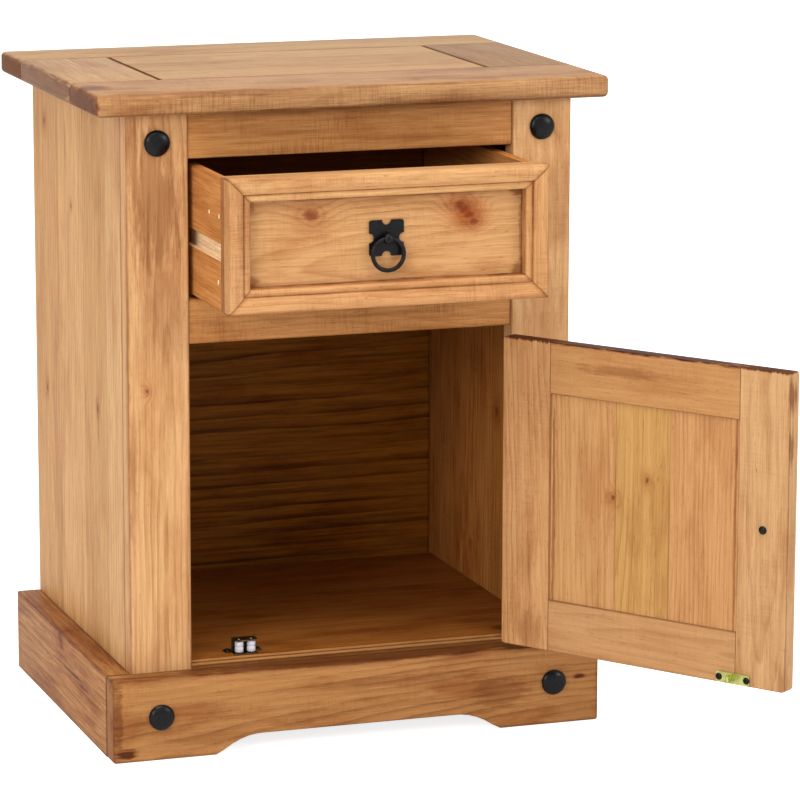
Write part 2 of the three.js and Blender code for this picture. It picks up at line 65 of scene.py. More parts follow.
def makeCamera(values):
    azimuth = math.radians(values["azimuth"])
    down = math.radians(values["down"])
    roll = math.radians(values["roll"])
    forward = Vector((math.sin(azimuth) * math.cos(down), math.cos(azimuth) * math.cos(down), -math.sin(down)))
    right = Vector((math.cos(azimuth), -math.sin(azimuth), 0))
    up = right.cross(forward)
    sideways = right * math.cos(roll) + up * math.sin(roll)
    upright = up * math.cos(roll) - right * math.sin(roll)
    data = bpy.data.cameras.new("camera")
    data.lens = values["lens"]
    data.shift_x, data.shift_y = values["shift"]
    data.clip_start = 0.05
    data.clip_end = 100
    camera = bpy.data.objects.new("camera", data)
    turn = Matrix((sideways, upright, -forward)).transposed()
    camera.matrix_world = Matrix.Translation(values["place"]) @ turn.to_4x4()
    bpy.context.collection.objects.link(camera)
    bpy.context.scene.camera = camera


makeCamera(cameraSet)


def tone(code):
    # linear colour of an sRGB hex code
    values = [int(code[i:i + 2], 16) / 255 for i in (0, 2, 4)]
    linear = [v / 12.92 if v <= 0.04045 else ((v + 0.055) / 1.055) ** 2.4 for v in values]
    return (*linear, 1)


def wire(tree, value, socket):
    if isinstance(value, bpy.types.NodeSocket):
        tree.links.new(value, socket)
    elif value is not None:
        socket.default_value = value


def mathNode(tree, operation, *values):
    node = tree.nodes.new("ShaderNodeMath")
    node.operation = operation
    for value, socket in zip(values, node.inputs):
        wire(tree, value, socket)
    return node.outputs[0]


def times(tree, a, b):
    return mathNode(tree, "MULTIPLY", a, b)


def plus(tree, a, b):
    return mathNode(tree, "ADD", a, b)


def minus(tree, a, b):
    return mathNode(tree, "SUBTRACT", a, b)


def vectorNode(tree, operation, *values):
    node = tree.nodes.new("ShaderNodeVectorMath")
    node.operation = operation
    for value, socket in zip(values, node.inputs):
        wire(tree, value, socket)
    return node.outputs["Value" if operation in ("LENGTH", "DOT_PRODUCT") else "Vector"]


def mixColour(tree, factor, a, b, blend="MIX"):
    node = tree.nodes.new("ShaderNodeMix")
    node.data_type = "RGBA"
    node.blend_type = blend
    wire(tree, factor, node.inputs[0])
    wire(tree, a, node.inputs[6])
    wire(tree, b, node.inputs[7])
    return node.outputs[2]


def noise(tree, vector, scale=1.0, detail=2.0, roughness=0.5, output="Fac"):
    node = tree.nodes.new("ShaderNodeTexNoise")
    wire(tree, vector, node.inputs["Vector"])
    node.inputs["Scale"].default_value = scale
    node.inputs["Detail"].default_value = detail
    node.inputs["Roughness"].default_value = roughness
    return node.outputs[output]


def spread(tree, value, low, high, toLow=0.0, toHigh=1.0, smooth=True):
    node = tree.nodes.new("ShaderNodeMapRange")
    node.interpolation_type = "SMOOTHSTEP" if smooth else "LINEAR"
    for given, socket in zip((value, low, high, toLow, toHigh), node.inputs):
        wire(tree, given, socket)
    return node.outputs[0]


def ramp(tree, value, stops, stepped=False):
    node = tree.nodes.new("ShaderNodeValToRGB")
    node.color_ramp.interpolation = "CONSTANT" if stepped else "LINEAR"
    elements = node.color_ramp.elements
    while len(elements) < len(stops):
        elements.new(0.5)
    while len(elements) > len(stops):
        elements.remove(elements[-1])
    for element, (spot, level) in zip(elements, stops):
        element.position = spot
        element.color = tone(level) if isinstance(level, str) else (level, level, level, 1)
    wire(tree, value, node.inputs[0])
    return node.outputs[0]


def newGroup(name, inputs, outputs):
    tree = bpy.data.node_groups.new(name, "ShaderNodeTree")
    for label, kind, default in inputs:
        socket = tree.interface.new_socket(label, in_out="INPUT", socket_type="NodeSocket" + kind)
        socket.default_value = default
    for label, kind in outputs:
        tree.interface.new_socket(label, in_out="OUTPUT", socket_type="NodeSocket" + kind)
    return tree, tree.nodes.new("NodeGroupInput").outputs, tree.nodes.new("NodeGroupOutput").inputs


def place(tree, group, **values):
    node = tree.nodes.new("ShaderNodeGroup")
    node.node_tree = group
    for label, value in values.items():
        wire(tree, value, node.inputs[label])
    return node.outputs


def makeEdgeShadeGroup():
    # how near a point is to an edge of its board, for painted shade along its arrises: the middle one of its three
    # distances to the faces
    tree, given, result = newGroup("boardEdge", [
        ("Vector", "Vector", (0, 0, 0)),
        ("Half", "Vector", (0.1, 0.1, 0.1)),
        ("Width", "Float", 0.003),
    ], [("Edge", "Float")])
    depth = vectorNode(tree, "SUBTRACT", given["Half"], vectorNode(tree, "ABSOLUTE", given["Vector"]))
    split = tree.nodes.new("ShaderNodeSeparateXYZ")
    wire(tree, depth, split.inputs[0])
    x, y, z = split.outputs
    middle = mathNode(tree, "MAXIMUM", mathNode(tree, "MINIMUM", x, y),
                      mathNode(tree, "MINIMUM", mathNode(tree, "MAXIMUM", x, y), z))
    ragged = noise(tree, vectorNode(tree, "MULTIPLY", given["Vector"], (40, 130, 130)), 1, 3, 0.65)
    reach = times(tree, given["Width"], times(tree, ragged, 2.2))
    wire(tree, spread(tree, middle, 0.0, reach, 1.0, 0.0), result["Edge"])
    return tree


def makeKnotGroup():
    # one knot through the board: a dark eye, a pale halo and a thin rim, and a bump that the rings flow round
    tree, given, result = newGroup("knot", [
        ("Vector", "Vector", (0, 0, 0)),
        ("Centre", "Vector", (0, 0, 0)),
        ("Flatten", "Vector", (0.7, 1, 0)),
        ("Radius", "Float", 0.008),
    ], [("Core", "Float"), ("Bump", "Float")])
    wobble = noise(tree, given["Vector"], 110, 3, 0.6, "Color")
    swing = vectorNode(tree, "SCALE", vectorNode(tree, "SUBTRACT", wobble, (0.5, 0.5, 0.5)))
    wire(tree, given["Radius"], swing.node.inputs["Scale"])
    shaken = vectorNode(tree, "ADD", given["Vector"], swing)
    offset = vectorNode(tree, "MULTIPLY", vectorNode(tree, "SUBTRACT", shaken, given["Centre"]), given["Flatten"])
    distance = mathNode(tree, "DIVIDE", vectorNode(tree, "LENGTH", offset), given["Radius"])
    eye = ramp(tree, times(tree, distance, 0.4),
               [(0.0, 1.0), (0.12, 0.9), (0.2, 0.62), (0.27, 0.16), (0.34, 0.12), (0.41, 0.34), (0.5, 0.08),
                (0.8, 0.0)])
    wire(tree, eye, result["Core"])
    near = spread(tree, distance, 0.0, 4.0, 1.0, 0.0)
    wire(tree, mathNode(tree, "POWER", near, 1.4), result["Bump"])
    return tree


def makeSpotGroup():
    # a darker patch, wax or wear on most boards and painted shade beside the mouldings of the drawer and door
    # panels: an ellipsoid whose border is torn along the grain
    tree, given, result = newGroup("spot", [
        ("Vector", "Vector", (0, 0, 0)),
        ("Centre", "Vector", (0, 0, 0)),
        ("Reach", "Vector", (0.01, 0.01, 0.01)),
        ("Strength", "Float", 0.5),
    ], [("Mask", "Float")])
    away = vectorNode(tree, "SUBTRACT", given["Vector"], given["Centre"])
    offset = vectorNode(tree, "DIVIDE", away, given["Reach"])
    torn = noise(tree, vectorNode(tree, "MULTIPLY", given["Vector"], (38, 260, 260)), 1, 4, 0.65)
    distance = plus(tree, vectorNode(tree, "LENGTH", offset),
                        times(tree, minus(tree, torn, 0.5), 1.9))
    wire(tree, times(tree, spread(tree, distance, 0.45, 1.1, 1.0, 0.0), given["Strength"]),
         result["Mask"])
    return tree


markTones = {
    "fibre": "b18a5f",
    "cloud": "c89f72",
    "fleck": "8a5a2c",
    "pit": "7a4f2c",
    "tooth": "b3875a",     # marks across the grain left by the planer
    "halo": "d08a50",      # warm wood round a knot
    "knot": "702c10",
    "end": "c8b2a6",       # end grain
    # painted shade along each board's arrises, and the dark glue lines between narrow boards
    "edge": "a0744a",
    # darker patches: wax and wear, and painted shade in the recesses of the panels and the hollows of the mouldings
    "wax": "b98552",
    "deepWaxAndShade": "75624e",
}


def makePineGroup():
    # growth rings are cylinders round the heart of the tree; X runs along the grain
    tree, given, result = newGroup("pineFigure", [
        ("Vector", "Vector", (0, 0, 0)),
        ("Heart", "Vector", (0, 0.02, -0.06)),
        ("Slope", "Float", 0.06),
        ("Spacing", "Float", 0.0045),
        ("Rings", "Float", 0.5),
        ("Grain", "Float", 1.0),
        ("Stain", "Float", 0.5),
        ("Chatter", "Float", 0.3),
        ("Knot", "Float", 0.0),
        ("Bump", "Float", 0.0),
        ("End", "Float", 0.0),
        ("Edge", "Float", 0.0),
        ("Spot", "Float", 0.0),
        ("Seed", "Float", 0.0),
        ("Pale", "Color", (0.7, 0.4, 0.2, 1)),
        ("Deep", "Color", (0.4, 0.2, 0.08, 1)),
    ], [("Color", "Color"), ("Roughness", "Float"), ("Height", "Float")])

    def stretched(scale, detail, roughness, output="Fac"):
        return noise(tree, vectorNode(tree, "MULTIPLY", along, scale), 1, detail, roughness, output)

    apart = vectorNode(tree, "MULTIPLY", given["Seed"], (0.37, 0.91, 0.53))
    along = vectorNode(tree, "ADD", given["Vector"], apart)
    wander = stretched((3.0, 11, 11), 3, 0.55, "Color")
    wander = vectorNode(tree, "SUBTRACT", wander, (0.5, 0.5, 0.5))
    shift = vectorNode(tree, "MULTIPLY", wander, (0.02, 0.022, 0.022))
    split = tree.nodes.new("ShaderNodeSeparateXYZ")
    wire(tree, vectorNode(tree, "SUBTRACT", vectorNode(tree, "ADD", given["Vector"], shift), given["Heart"]),
         split.inputs[0])
    # the heart drifts out of the board as it runs along, which draws the pointed arches of a flat-sawn face
    drift = times(tree, split.outputs[0], given["Slope"])
    depth = plus(tree, split.outputs[1], drift)
    across = split.outputs[2]
    radius = mathNode(tree, "SQRT", plus(tree, times(tree, depth, depth), times(tree, across, across)))
    turns = plus(tree, mathNode(tree, "DIVIDE", radius, given["Spacing"]), times(tree, given["Bump"], 1.7))
    late = ramp(tree, mathNode(tree, "FRACT", turns),
                [(0.0, 0.05), (0.45, 0.16), (0.78, 0.75), (0.88, 1.0), (0.94, 0.3), (1.0, 0.05)])
    late = times(tree, late, spread(tree, stretched((4, 60, 60), 2, 0.5), 0.32, 0.68, 0.15, 1.15))
    fibre = stretched((22, 900, 900), 3, 0.7)
    streak = stretched((7, 260, 260), 4, 0.62)
    fleck = spread(tree, stretched((80, 900, 900), 3, 0.65), 0.62, 0.7)
    pit = spread(tree, stretched((340, 640, 640), 2, 0.6), 0.655, 0.72)
    cloud = spread(tree, stretched((8, 26, 26), 5, 0.62), 0.47, 0.68)
    patch = spread(tree, stretched((14, 34, 34), 3, 0.6), 0.36, 0.72)
    tooth = spread(tree, stretched((620, 40, 40), 2, 0.6), 0.42, 0.66)
    tooth = times(tree, times(tree, tooth, patch), given["Chatter"])

    colour = mixColour(tree, times(tree, late, given["Rings"]), given["Pale"], given["Deep"])
    streaked = times(tree, spread(tree, streak, 0.4, 0.68, 0.0, 0.5), given["Grain"])
    colour = mixColour(tree, streaked, colour, given["Deep"])
    # each mark multiplies the colour by its own tone, and only the eye of a knot covers it
    for label, amount in (
            ("fibre", times(tree, spread(tree, fibre, 0.4, 0.72, 0.0, 0.5), given["Grain"])),
            ("cloud", times(tree, cloud, given["Stain"])),
            ("fleck", times(tree, fleck, 0.45)),
            ("pit", times(tree, pit, times(tree, given["Stain"], 0.8))),
            ("tooth", times(tree, tooth, 0.42)),
            ("halo", times(tree, given["Bump"], 0.3)),
            ("knot", times(tree, given["Knot"], 0.85)),
            ("end", given["End"]),
            ("edge", times(tree, given["Edge"], 0.6)),
            ("wax", given["Spot"]),
            ("deepWaxAndShade", times(tree, given["Spot"], given["Spot"]))):
        colour = mixColour(tree, amount, colour, tone(markTones[label]), "MIX" if label == "knot" else "MULTIPLY")
    wire(tree, colour, result["Color"])

    rough = plus(tree, 0.42, times(tree, fibre, 0.14))
    rough = plus(tree, rough, times(tree, given["End"], 0.2))
    wire(tree, minus(tree, rough, times(tree, late, 0.05)), result["Roughness"])
    height = times(tree, late, 0.35)
    for hollow, depth in ((fibre, 0.8), (fleck, 0.7), (pit, 1.2), (tooth, 0.45), (given["Spot"], 1.0)):
        height = minus(tree, height, times(tree, hollow, depth))
    wire(tree, minus(tree, height, times(tree, given["End"], 0.4)), result["Height"])
    return tree


edgeShadeGroup = makeEdgeShadeGroup()
knotGroup = makeKnotGroup()
spotGroup = makeSpotGroup()
pineGroup = makePineGroup()
print("shader groups made")


# turns that bring the grain of a board onto X
grainTurns = {
    "x": Matrix.Identity(3),
    "y": Matrix.Rotation(math.radians(-90), 3, "Z"),
    "z": Matrix.Rotation(math.radians(90), 3, "Y"),
}

doorHinge = next(joint for joint in frame["record"]["behaviour"]["joints"] if joint["name"] == "door_hinge")
doorPin = Vector(doorHinge["pos_m"])
doorTurn = Matrix.Rotation(math.radians(-doorHinge["range_deg"][0]), 3, "Z")     # closed door to door at rest

finishes = {
    "top": {"rings": 0.45, "stain": 0.4, "chatter": 0.4, "coat": 0.06, "fibre": 1.0, "gloss": 0.22},
    "front": {"rings": 0.5, "stain": 0.45, "chatter": 0.35, "coat": 0.04, "fibre": 0.65},
    "side": {"rings": 0.65, "stain": 0.35, "chatter": 0.1, "coat": 0.03, "fibre": 1.05},
    "rail": {"rings": 0.35, "stain": 0.45, "chatter": 1.0, "coat": 0.03, "fibre": 0.85},
    "box": {"rings": 0.35, "stain": 0.4, "chatter": 0.3, "coat": 0.05},
    "inside": {"rings": 0.55, "stain": 0.6, "chatter": 0.2, "coat": 0.0, "gloss": 0.05},
    "bare": {"rings": 0.3, "stain": 0.1, "chatter": 0.4, "coat": 0.0},
}


def grainFrame(node, grain, onDoor=False):
    # turn, middle and half size of a node in coordinates whose X runs along its grain
    turn = grainTurns[grain] @ (doorTurn.inverted() if onDoor else Matrix.Identity(3))
    mesh = frame["nodes"][node].data
    points = np.empty(len(mesh.vertices) * 3)
    mesh.vertices.foreach_get("co", points)
    points = points.reshape(-1, 3) @ np.array(turn).T
    low, high = points.min(axis=0), points.max(axis=0)
    return turn, (low + high) / 2, (high - low) / 2


def pineMaterial(name, node, grain, finish, colours, seed, flat="y", heart=(0, 0.03, -0.06), slope=0.05,
                 spacing=4.5, knots=(), spots=(), boards=None, onDoor=False, edge=3.0, end=1.0, hollow=False,
                 **changes):
    # pine for one board, in mm: colours are its pale and its deep tone, knots are (along, across, radius),
    # spots are (centre, reach, strength), boards are (start across as a part of the width, tint)
    look = {**finishes[finish], **changes}
    turn, middle, half = grainFrame(node, grain, onDoor)
    material, tree = newMaterial(name)
    coordinates = tree.nodes.new("ShaderNodeTexCoord")
    mapping = tree.nodes.new("ShaderNodeMapping")
    mapping.inputs["Rotation"].default_value = turn.to_euler()
    mapping.inputs["Location"].default_value = -Vector(middle)
    wire(tree, coordinates.outputs["Object"], mapping.inputs["Vector"])
    vector = mapping.outputs[0]
    straight = tree.nodes.new("ShaderNodeMapping")
    straight.vector_type = "VECTOR"
    straight.inputs["Rotation"].default_value = turn.to_euler()
    wire(tree, coordinates.outputs["Normal"], straight.inputs["Vector"])
    facing = mathNode(tree, "ABSOLUTE", vectorNode(tree, "DOT_PRODUCT", straight.outputs[0], (1, 0, 0)))
    # mask of painted shade along the board's arrises
    edges = place(tree, edgeShadeGroup, Vector=vector, Half=tuple(half), Width=edge * mm)["Edge"]

    core, bump, spot = 0.0, 0.0, 0.0
    for along, across, size in knots:
        centre = (along * mm, 0, across * mm) if flat == "y" else (along * mm, across * mm, 0)
        knot = place(tree, knotGroup, Vector=vector, Centre=centre, Radius=size * mm,
                     Flatten=(0.75, 0, 1) if flat == "y" else (0.75, 1, 0))
        core = mathNode(tree, "MAXIMUM", core, knot["Core"])
        bump = plus(tree, bump, knot["Bump"])
    for centre, reach, strength in spots:
        patch = place(tree, spotGroup, Vector=vector, Centre=tuple(v * mm for v in centre),
                      Reach=tuple(v * mm for v in reach), Strength=strength)
        spot = mathNode(tree, "MAXIMUM", spot, patch["Mask"])
    if hollow:
        # painted shade in the low parts of a moulding, and the wax in its mitres
        attribute = tree.nodes.new("ShaderNodeAttribute")
        attribute.attribute_name = "hollow"
        uneven = noise(tree, vectorNode(tree, "MULTIPLY", vector, (30, 120, 120)), 1, 3, 0.6)
        wax = times(tree, attribute.outputs["Fac"], spread(tree, uneven, 0.3, 0.7, 0.45, 1.0))
        spot = mathNode(tree, "MAXIMUM", spot, wax)

    pale, deep, number, middleOfTree = tone(colours[0]), tone(colours[1]), float(seed), heart
    if boards:
        # narrow boards glued side by side: each has its own tint, its own stretch of figure, a dark glue line
        split = tree.nodes.new("ShaderNodeSeparateXYZ")
        wire(tree, vector, split.inputs[0])
        k = 2 if flat == "y" else 1
        share = spread(tree, split.outputs[k], -half[k], half[k], smooth=False)
        tint = ramp(tree, share, boards, stepped=True)
        pale = mixColour(tree, 1.0, pale, tint, "MULTIPLY")
        deep = mixColour(tree, 1.0, deep, tint, "MULTIPLY")
        order = ramp(tree, share, [(start, (i + 0.5) / len(boards)) for i, (start, _) in enumerate(boards)], True)
        number = plus(tree, times(tree, order, 9.7), float(seed))
        swing = vectorNode(tree, "MULTIPLY", mathNode(tree, "SINE", times(tree, order, 21.0)),
                           (0, 0.06, 0.06))
        middleOfTree = vectorNode(tree, "ADD", swing, heart)
        for start, _ in boards[1:]:
            off = times(tree, mathNode(tree, "ABSOLUTE", minus(tree, share, start)),
                           2 * half[k])
            edges = mathNode(tree, "MAXIMUM", edges, spread(tree, off, 0.0, 0.0011, 0.6, 0.0))

    figure = place(tree, pineGroup, Vector=vector, Heart=middleOfTree, Slope=slope, Spacing=spacing * mm,
                   Rings=look["rings"], Grain=look.get("fibre", 1.0), Stain=look["stain"],
                   Chatter=look["chatter"], Knot=core, Bump=bump,
                   End=times(tree, spread(tree, facing, 0.55, 0.95), end), Edge=edges, Spot=spot,
                   Seed=number, Pale=pale, Deep=deep)
    coverWith(tree, figure, 0.5, 0.25, **{"Coat Weight": look["coat"], "Coat Roughness": 0.35,
                                          "Specular IOR Level": look.get("gloss", 0.1)})
    return material


def newMaterial(name):
    material = bpy.data.materials.new(name)
    material.use_nodes = True
    material.node_tree.nodes.clear()
    return material, material.node_tree


def coverWith(tree, surface, strength, distance, **values):
    # the surface's colour, roughness and height into a shader whose other sockets hold plain values
    bump = tree.nodes.new("ShaderNodeBump")
    bump.inputs["Strength"].default_value = strength
    bump.inputs["Distance"].default_value = distance * mm
    wire(tree, surface["Height"], bump.inputs["Height"])
    shader = tree.nodes.new("ShaderNodeBsdfPrincipled")
    wire(tree, surface["Color"], shader.inputs["Base Color"])
    wire(tree, surface["Roughness"], shader.inputs["Roughness"])
    wire(tree, bump.outputs[0], shader.inputs["Normal"])
    for label, value in values.items():
        shader.inputs[label].default_value = value
    wire(tree, shader.outputs[0], tree.nodes.new("ShaderNodeOutputMaterial").inputs[0])


def makeScuffGroup():
    # fine unevenness of a coat of paint or plating, with slow clouds of wear
    tree, given, result = newGroup("scuff", [
        ("Vector", "Vector", (0, 0, 0)),
        ("Clean", "Color", (0.02, 0.02, 0.02, 1)),
        ("Worn", "Color", (0.05, 0.05, 0.05, 1)),
        ("Low Roughness", "Float", 0.35),
        ("High Roughness", "Float", 0.5),
    ], [("Color", "Color"), ("Roughness", "Float"), ("Height", "Float")])
    cloud = noise(tree, given["Vector"], 160, 3, 0.6)
    grit = noise(tree, given["Vector"], 2600, 2, 0.5)
    wire(tree, mixColour(tree, spread(tree, cloud, 0.4, 0.72), given["Clean"], given["Worn"]), result["Color"])
    unevenness = plus(tree, times(tree, cloud, 0.7), times(tree, grit, 0.3))
    wire(tree, spread(tree, unevenness, 0.35, 0.65, given["Low Roughness"], given["High Roughness"]),
         result["Roughness"])
    wire(tree, plus(tree, times(tree, grit, 0.4), cloud), result["Height"])
    return tree


scuffGroup = makeScuffGroup()


def coatedMaterial(name, clean, worn, rough, metallic=0.0, bump=0.25, gloss=0.5):
    material, tree = newMaterial(name)
    coordinates = tree.nodes.new("ShaderNodeTexCoord")
    surface = place(tree, scuffGroup, Vector=coordinates.outputs["Object"], Clean=tone(clean), Worn=tone(worn),
                    **{"Low Roughness": rough[0], "High Roughness": rough[1]})
    coverWith(tree, surface, bump, 0.1, **{"Metallic": metallic, "Specular IOR Level": gloss})
    return material


blackIron = coatedMaterial("blackIron", "060608", "0d0d0f", (0.26, 0.38), gloss=0.24)
dullBrass = coatedMaterial("dullBrass", "9a7a3e", "7d5f2c", (0.32, 0.5), 1.0)
yellowZinc = coatedMaterial("yellowZinc", "c3c77c", "a9a65a", (0.22, 0.42), 1.0)
# the catch cage's dark tone is partly its bronze finish, partly painted shade of the interior it sits in
bronzedAndShadedZinc = coatedMaterial("bronzedAndShadedZinc", "6f6440", "4c4228", (0.25, 0.45), 1.0)
whiteNylon = coatedMaterial("whiteNylon", "d9d6de", "c9c5cf", (0.35, 0.5))
print("materials ready")


def meshPiece(name, points, faces, material, body, replaces=(), smooth=40):
    mesh = bpy.data.meshes.new(name)
    mesh.from_pydata(points, [], faces)
    mesh.polygons.foreach_set("use_smooth", np.ones(len(mesh.polygons), dtype=bool))
    mesh.set_sharp_from_angle(angle=math.radians(smooth))
    mesh.materials.append(material)
    mesh.update()
    piece = bpy.data.objects.new(name, mesh)
    bpy.context.collection.objects.link(piece)
    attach(piece, body)
    if replaces:
        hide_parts(*replaces)
    return piece


def camelName(node):
    words = node.split("_")
    return words[0] + "".join(word.title() for word in words[1:])


def gridFaces(rows, columns, closeRows=False, capEnds=True):
    # quads of a rows by columns grid closed round its columns; ends capped unless the rows close too
    i = np.arange(rows if closeRows else rows - 1)[:, None]
    j = np.arange(columns)[None, :]
    nextI = (i + 1) % rows
    nextJ = (j + 1) % columns
    quads = np.stack([i * columns + j, i * columns + nextJ, nextI * columns + nextJ, nextI * columns + j], axis=-1)
    faces = quads.reshape(-1, 4).tolist()
    if capEnds and not closeRows:
        faces.append(list(range(columns - 1, -1, -1)))
        faces.append(list(range((rows - 1) * columns, rows * columns)))
    return faces


def outward(piece):
    bm = bmesh.new()
    bm.from_mesh(piece.data)
    bmesh.ops.remove_doubles(bm, verts=bm.verts, dist=1e-7)
    bmesh.ops.recalc_face_normals(bm, faces=bm.faces)
    bm.to_mesh(piece.data)
    bm.free()
    return piece


def easedBoard(node, along, radii, ends, material, weights=(1, 1, 1, 1), floor=None):
    # a rounded rectangle carried along one axis: at distance s from an end its sides draw in by
    # e - sqrt(e^2 - (e - s)^2), so every arris rolls over; floor(x) lifts the lower side
    low, high = boxOf(node)
    axis = "xyz".index(along)
    a, b = [k for k in range(3) if k != axis]
    quarter = np.linspace(0, math.pi / 2, 6)
    corners = [(1, 1, 0), (-1, 1, 1), (-1, -1, 2), (1, -1, 3)]     # sign across, sign up, quarter turn
    angle = np.concatenate([quarter + turn * math.pi / 2 for _, _, turn in corners])
    sign = np.repeat([[sa, sb] for sa, sb, _ in corners], 6, axis=0)
    corner = np.repeat(radii, 6)                                    # radii: ++, -+, --, +-
    rollIn = np.linspace(0, math.pi / 2, 6)
    startS = low[axis] + ends[0] * (1 - np.cos(rollIn))
    startIn = ends[0] * (1 - np.sin(rollIn))
    endS = high[axis] - ends[1] * (1 - np.cos(rollIn[::-1]))
    endIn = ends[1] * (1 - np.sin(rollIn[::-1]))
    between = np.linspace(startS[-1], endS[0], 60 if floor else 3)[1:-1]
    stations = np.concatenate([startS, between, endS])
    drawIn = np.concatenate([startIn, np.zeros(len(between)), endIn])
    points = np.empty((len(stations), len(angle), 3))
    points[..., axis] = stations[:, None]
    middle, half = (low + high) / 2, (high - low) / 2
    for k, column, turnOf in ((a, 0, np.cos), (b, 1, np.sin)):
        side = sign[:, column]
        weight = np.where(side > 0, weights[2 * column + 1], weights[2 * column])
        inset = drawIn[:, None] * weight[None, :]
        arc = np.maximum(corner[None, :] - inset, 0)
        points[..., k] = middle[k] + side * (half[k] - np.maximum(corner[None, :], inset)) + arc * turnOf(angle)
    if floor is not None:
        lift = floor(stations)[:, None] * (sign[:, 1] < 0)[None, :]
        points[..., b] += lift
    faces = gridFaces(len(stations), len(angle))
    return outward(meshPiece(camelName(node), points.reshape(-1, 3), faces, material, bodyOf[node],
                             [node]))


def turnedPiece(name, profile, centre, direction, material, body, replaces=(), count=32, uneven=0.0,
                smooth=40):
    # a profile of (radius, height) spun round an axis; the radius swells by a slow sine of the angle
    profile = np.array(profile)
    angle = np.linspace(0, 2 * math.pi, count, endpoint=False)
    swell = 1 + uneven * np.sin(3 * angle + 0.7)[None, :] * np.linspace(1, 0, len(profile))[:, None]
    r = profile[:, 0][:, None] * swell
    local = np.stack([r * np.cos(angle), r * np.sin(angle), np.repeat(profile[:, 1][:, None], count, 1)], axis=-1)
    turn = np.array(Vector(direction).to_track_quat("Z", "Y").to_matrix())
    points = local.reshape(-1, 3) @ turn.T + np.array(centre)
    faces = gridFaces(len(profile), count)
    return outward(meshPiece(name, points, faces, material, body, replaces, smooth))


def easedCopy(node, material, width=0.8, angle=30, second=None, secondWhere=None):
    # the node's own shape, welded, with its arrises eased by a bevel
    source = frame["nodes"][node].data
    bm = bmesh.new()
    bm.from_mesh(source)
    bmesh.ops.remove_doubles(bm, verts=bm.verts, dist=1e-6)
    bmesh.ops.dissolve_limit(bm, angle_limit=math.radians(0.5), verts=bm.verts, edges=bm.edges)
    mesh = bpy.data.meshes.new(node + "Eased")
    bm.to_mesh(mesh)
    bm.free()
    mesh.materials.clear()
    mesh.materials.append(material)
    mesh.polygons.foreach_set("material_index", np.zeros(len(mesh.polygons), dtype=np.int32))
    if second is not None:
        mesh.materials.append(second)
        centres = np.empty(len(mesh.polygons) * 3)
        mesh.polygons.foreach_get("center", centres)
        picked = secondWhere(centres.reshape(-1, 3)).astype(np.int32)
        mesh.polygons.foreach_set("material_index", picked)
    mesh.polygons.foreach_set("use_smooth", np.ones(len(mesh.polygons), dtype=bool))
    mesh.set_sharp_from_angle(angle=math.radians(angle))
    piece = bpy.data.objects.new(camelName(node), mesh)
    bpy.context.collection.objects.link(piece)
    if width:
        bevel = piece.modifiers.new("easedArris", "BEVEL")
        bevel.width = width * mm
        bevel.segments = 2
        bevel.limit_method = "ANGLE"
        bevel.angle_limit = math.radians(angle)
        bevel.harden_normals = True
    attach(piece, bodyOf[node])
    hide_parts(node)
    return piece


def boxOf(node):
    low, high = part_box(node)
    return np.array(low), np.array(high)


topSet = {
    "arris": 5.0,          # rounding of the outer edges, mm
    "joint": 0.9,          # small easing where two boards meet
    "front": ("bc8e5d", "946337"),
    "rear": ("be9766", "9c6e40"),
    "left": ("c09768", "9c6c3e"),
    "right": ("a57d50", "84592e"),
    "centre": ("c49f6f", "a57849"),
}


def makeTop(values):
    arris, joint = values["arris"] * mm, values["joint"] * mm
    front = pineMaterial("topFrontPine", "top_front_board", "x", "top", values["front"], 11, flat="z",
                         heart=(0, 0.09, -0.05), slope=0.03, spacing=5, chatter=1.0, stain=0.6,
                         knots=[(70, -20, 4.5)],
                         spots=[((-252, 8, 11), (22, 26, 6), 0.6), ((-263, 0, -2), (6, 70, 15), 0.5),
                                ((-120, -50.5, 9), (90, 5, 5), 0.35), ((150, -50.5, -8), (150, 6, 5), 0.35)])
    rear = pineMaterial("topRearPine", "top_rear_board", "x", "top", values["rear"], 12, flat="z",
                        heart=(0, -0.08, -0.05), slope=0.04, spacing=4.5, spots=[((-263, 0, 0), (6, 90, 15), 0.5)])
    left = pineMaterial("topLeftPine", "top_left_end_board", "y", "top", values["left"], 13, flat="z",
                        heart=(0, 0.06, -0.04), slope=0.05, spacing=4.5,
                        spots=[((0, 45, 0), (190, 7, 18), 0.6)])
    right = pineMaterial("topRightPine", "top_right_end_board", "y", "top", values["right"], 14, flat="z",
                         heart=(0, -0.05, -0.06), slope=0.05, spacing=5, stain=0.6)
    middle = pineMaterial("topCentrePine", "top_centre_panel", "x", "top", values["centre"], 15, flat="z",
                          heart=(0, 0.02, -0.07), slope=0.04, spacing=4.5, knots=[(-80, 20, 3)],
                          boards=[(0.0, "fff6ea"), (0.33, "f2ead8"), (0.68, "fffaf0")])
    # radii run: back upper, front upper, front lower, back lower
    easedBoard("top_front_board", "x", [joint, arris, arris, joint], (arris, arris), front, (1, 0.25, 1, 1))
    easedBoard("top_rear_board", "x", [arris, joint, joint, arris], (arris, arris), rear, (0.25, 1, 1, 1))
    easedBoard("top_left_end_board", "y", [joint, arris, arris, joint], (joint, joint), left)
    easedBoard("top_right_end_board", "y", [arris, joint, joint, arris], (joint, joint), right)
    easedCopy("top_centre_panel", middle, 0.6)


makeTop(topSet)
print("top made")


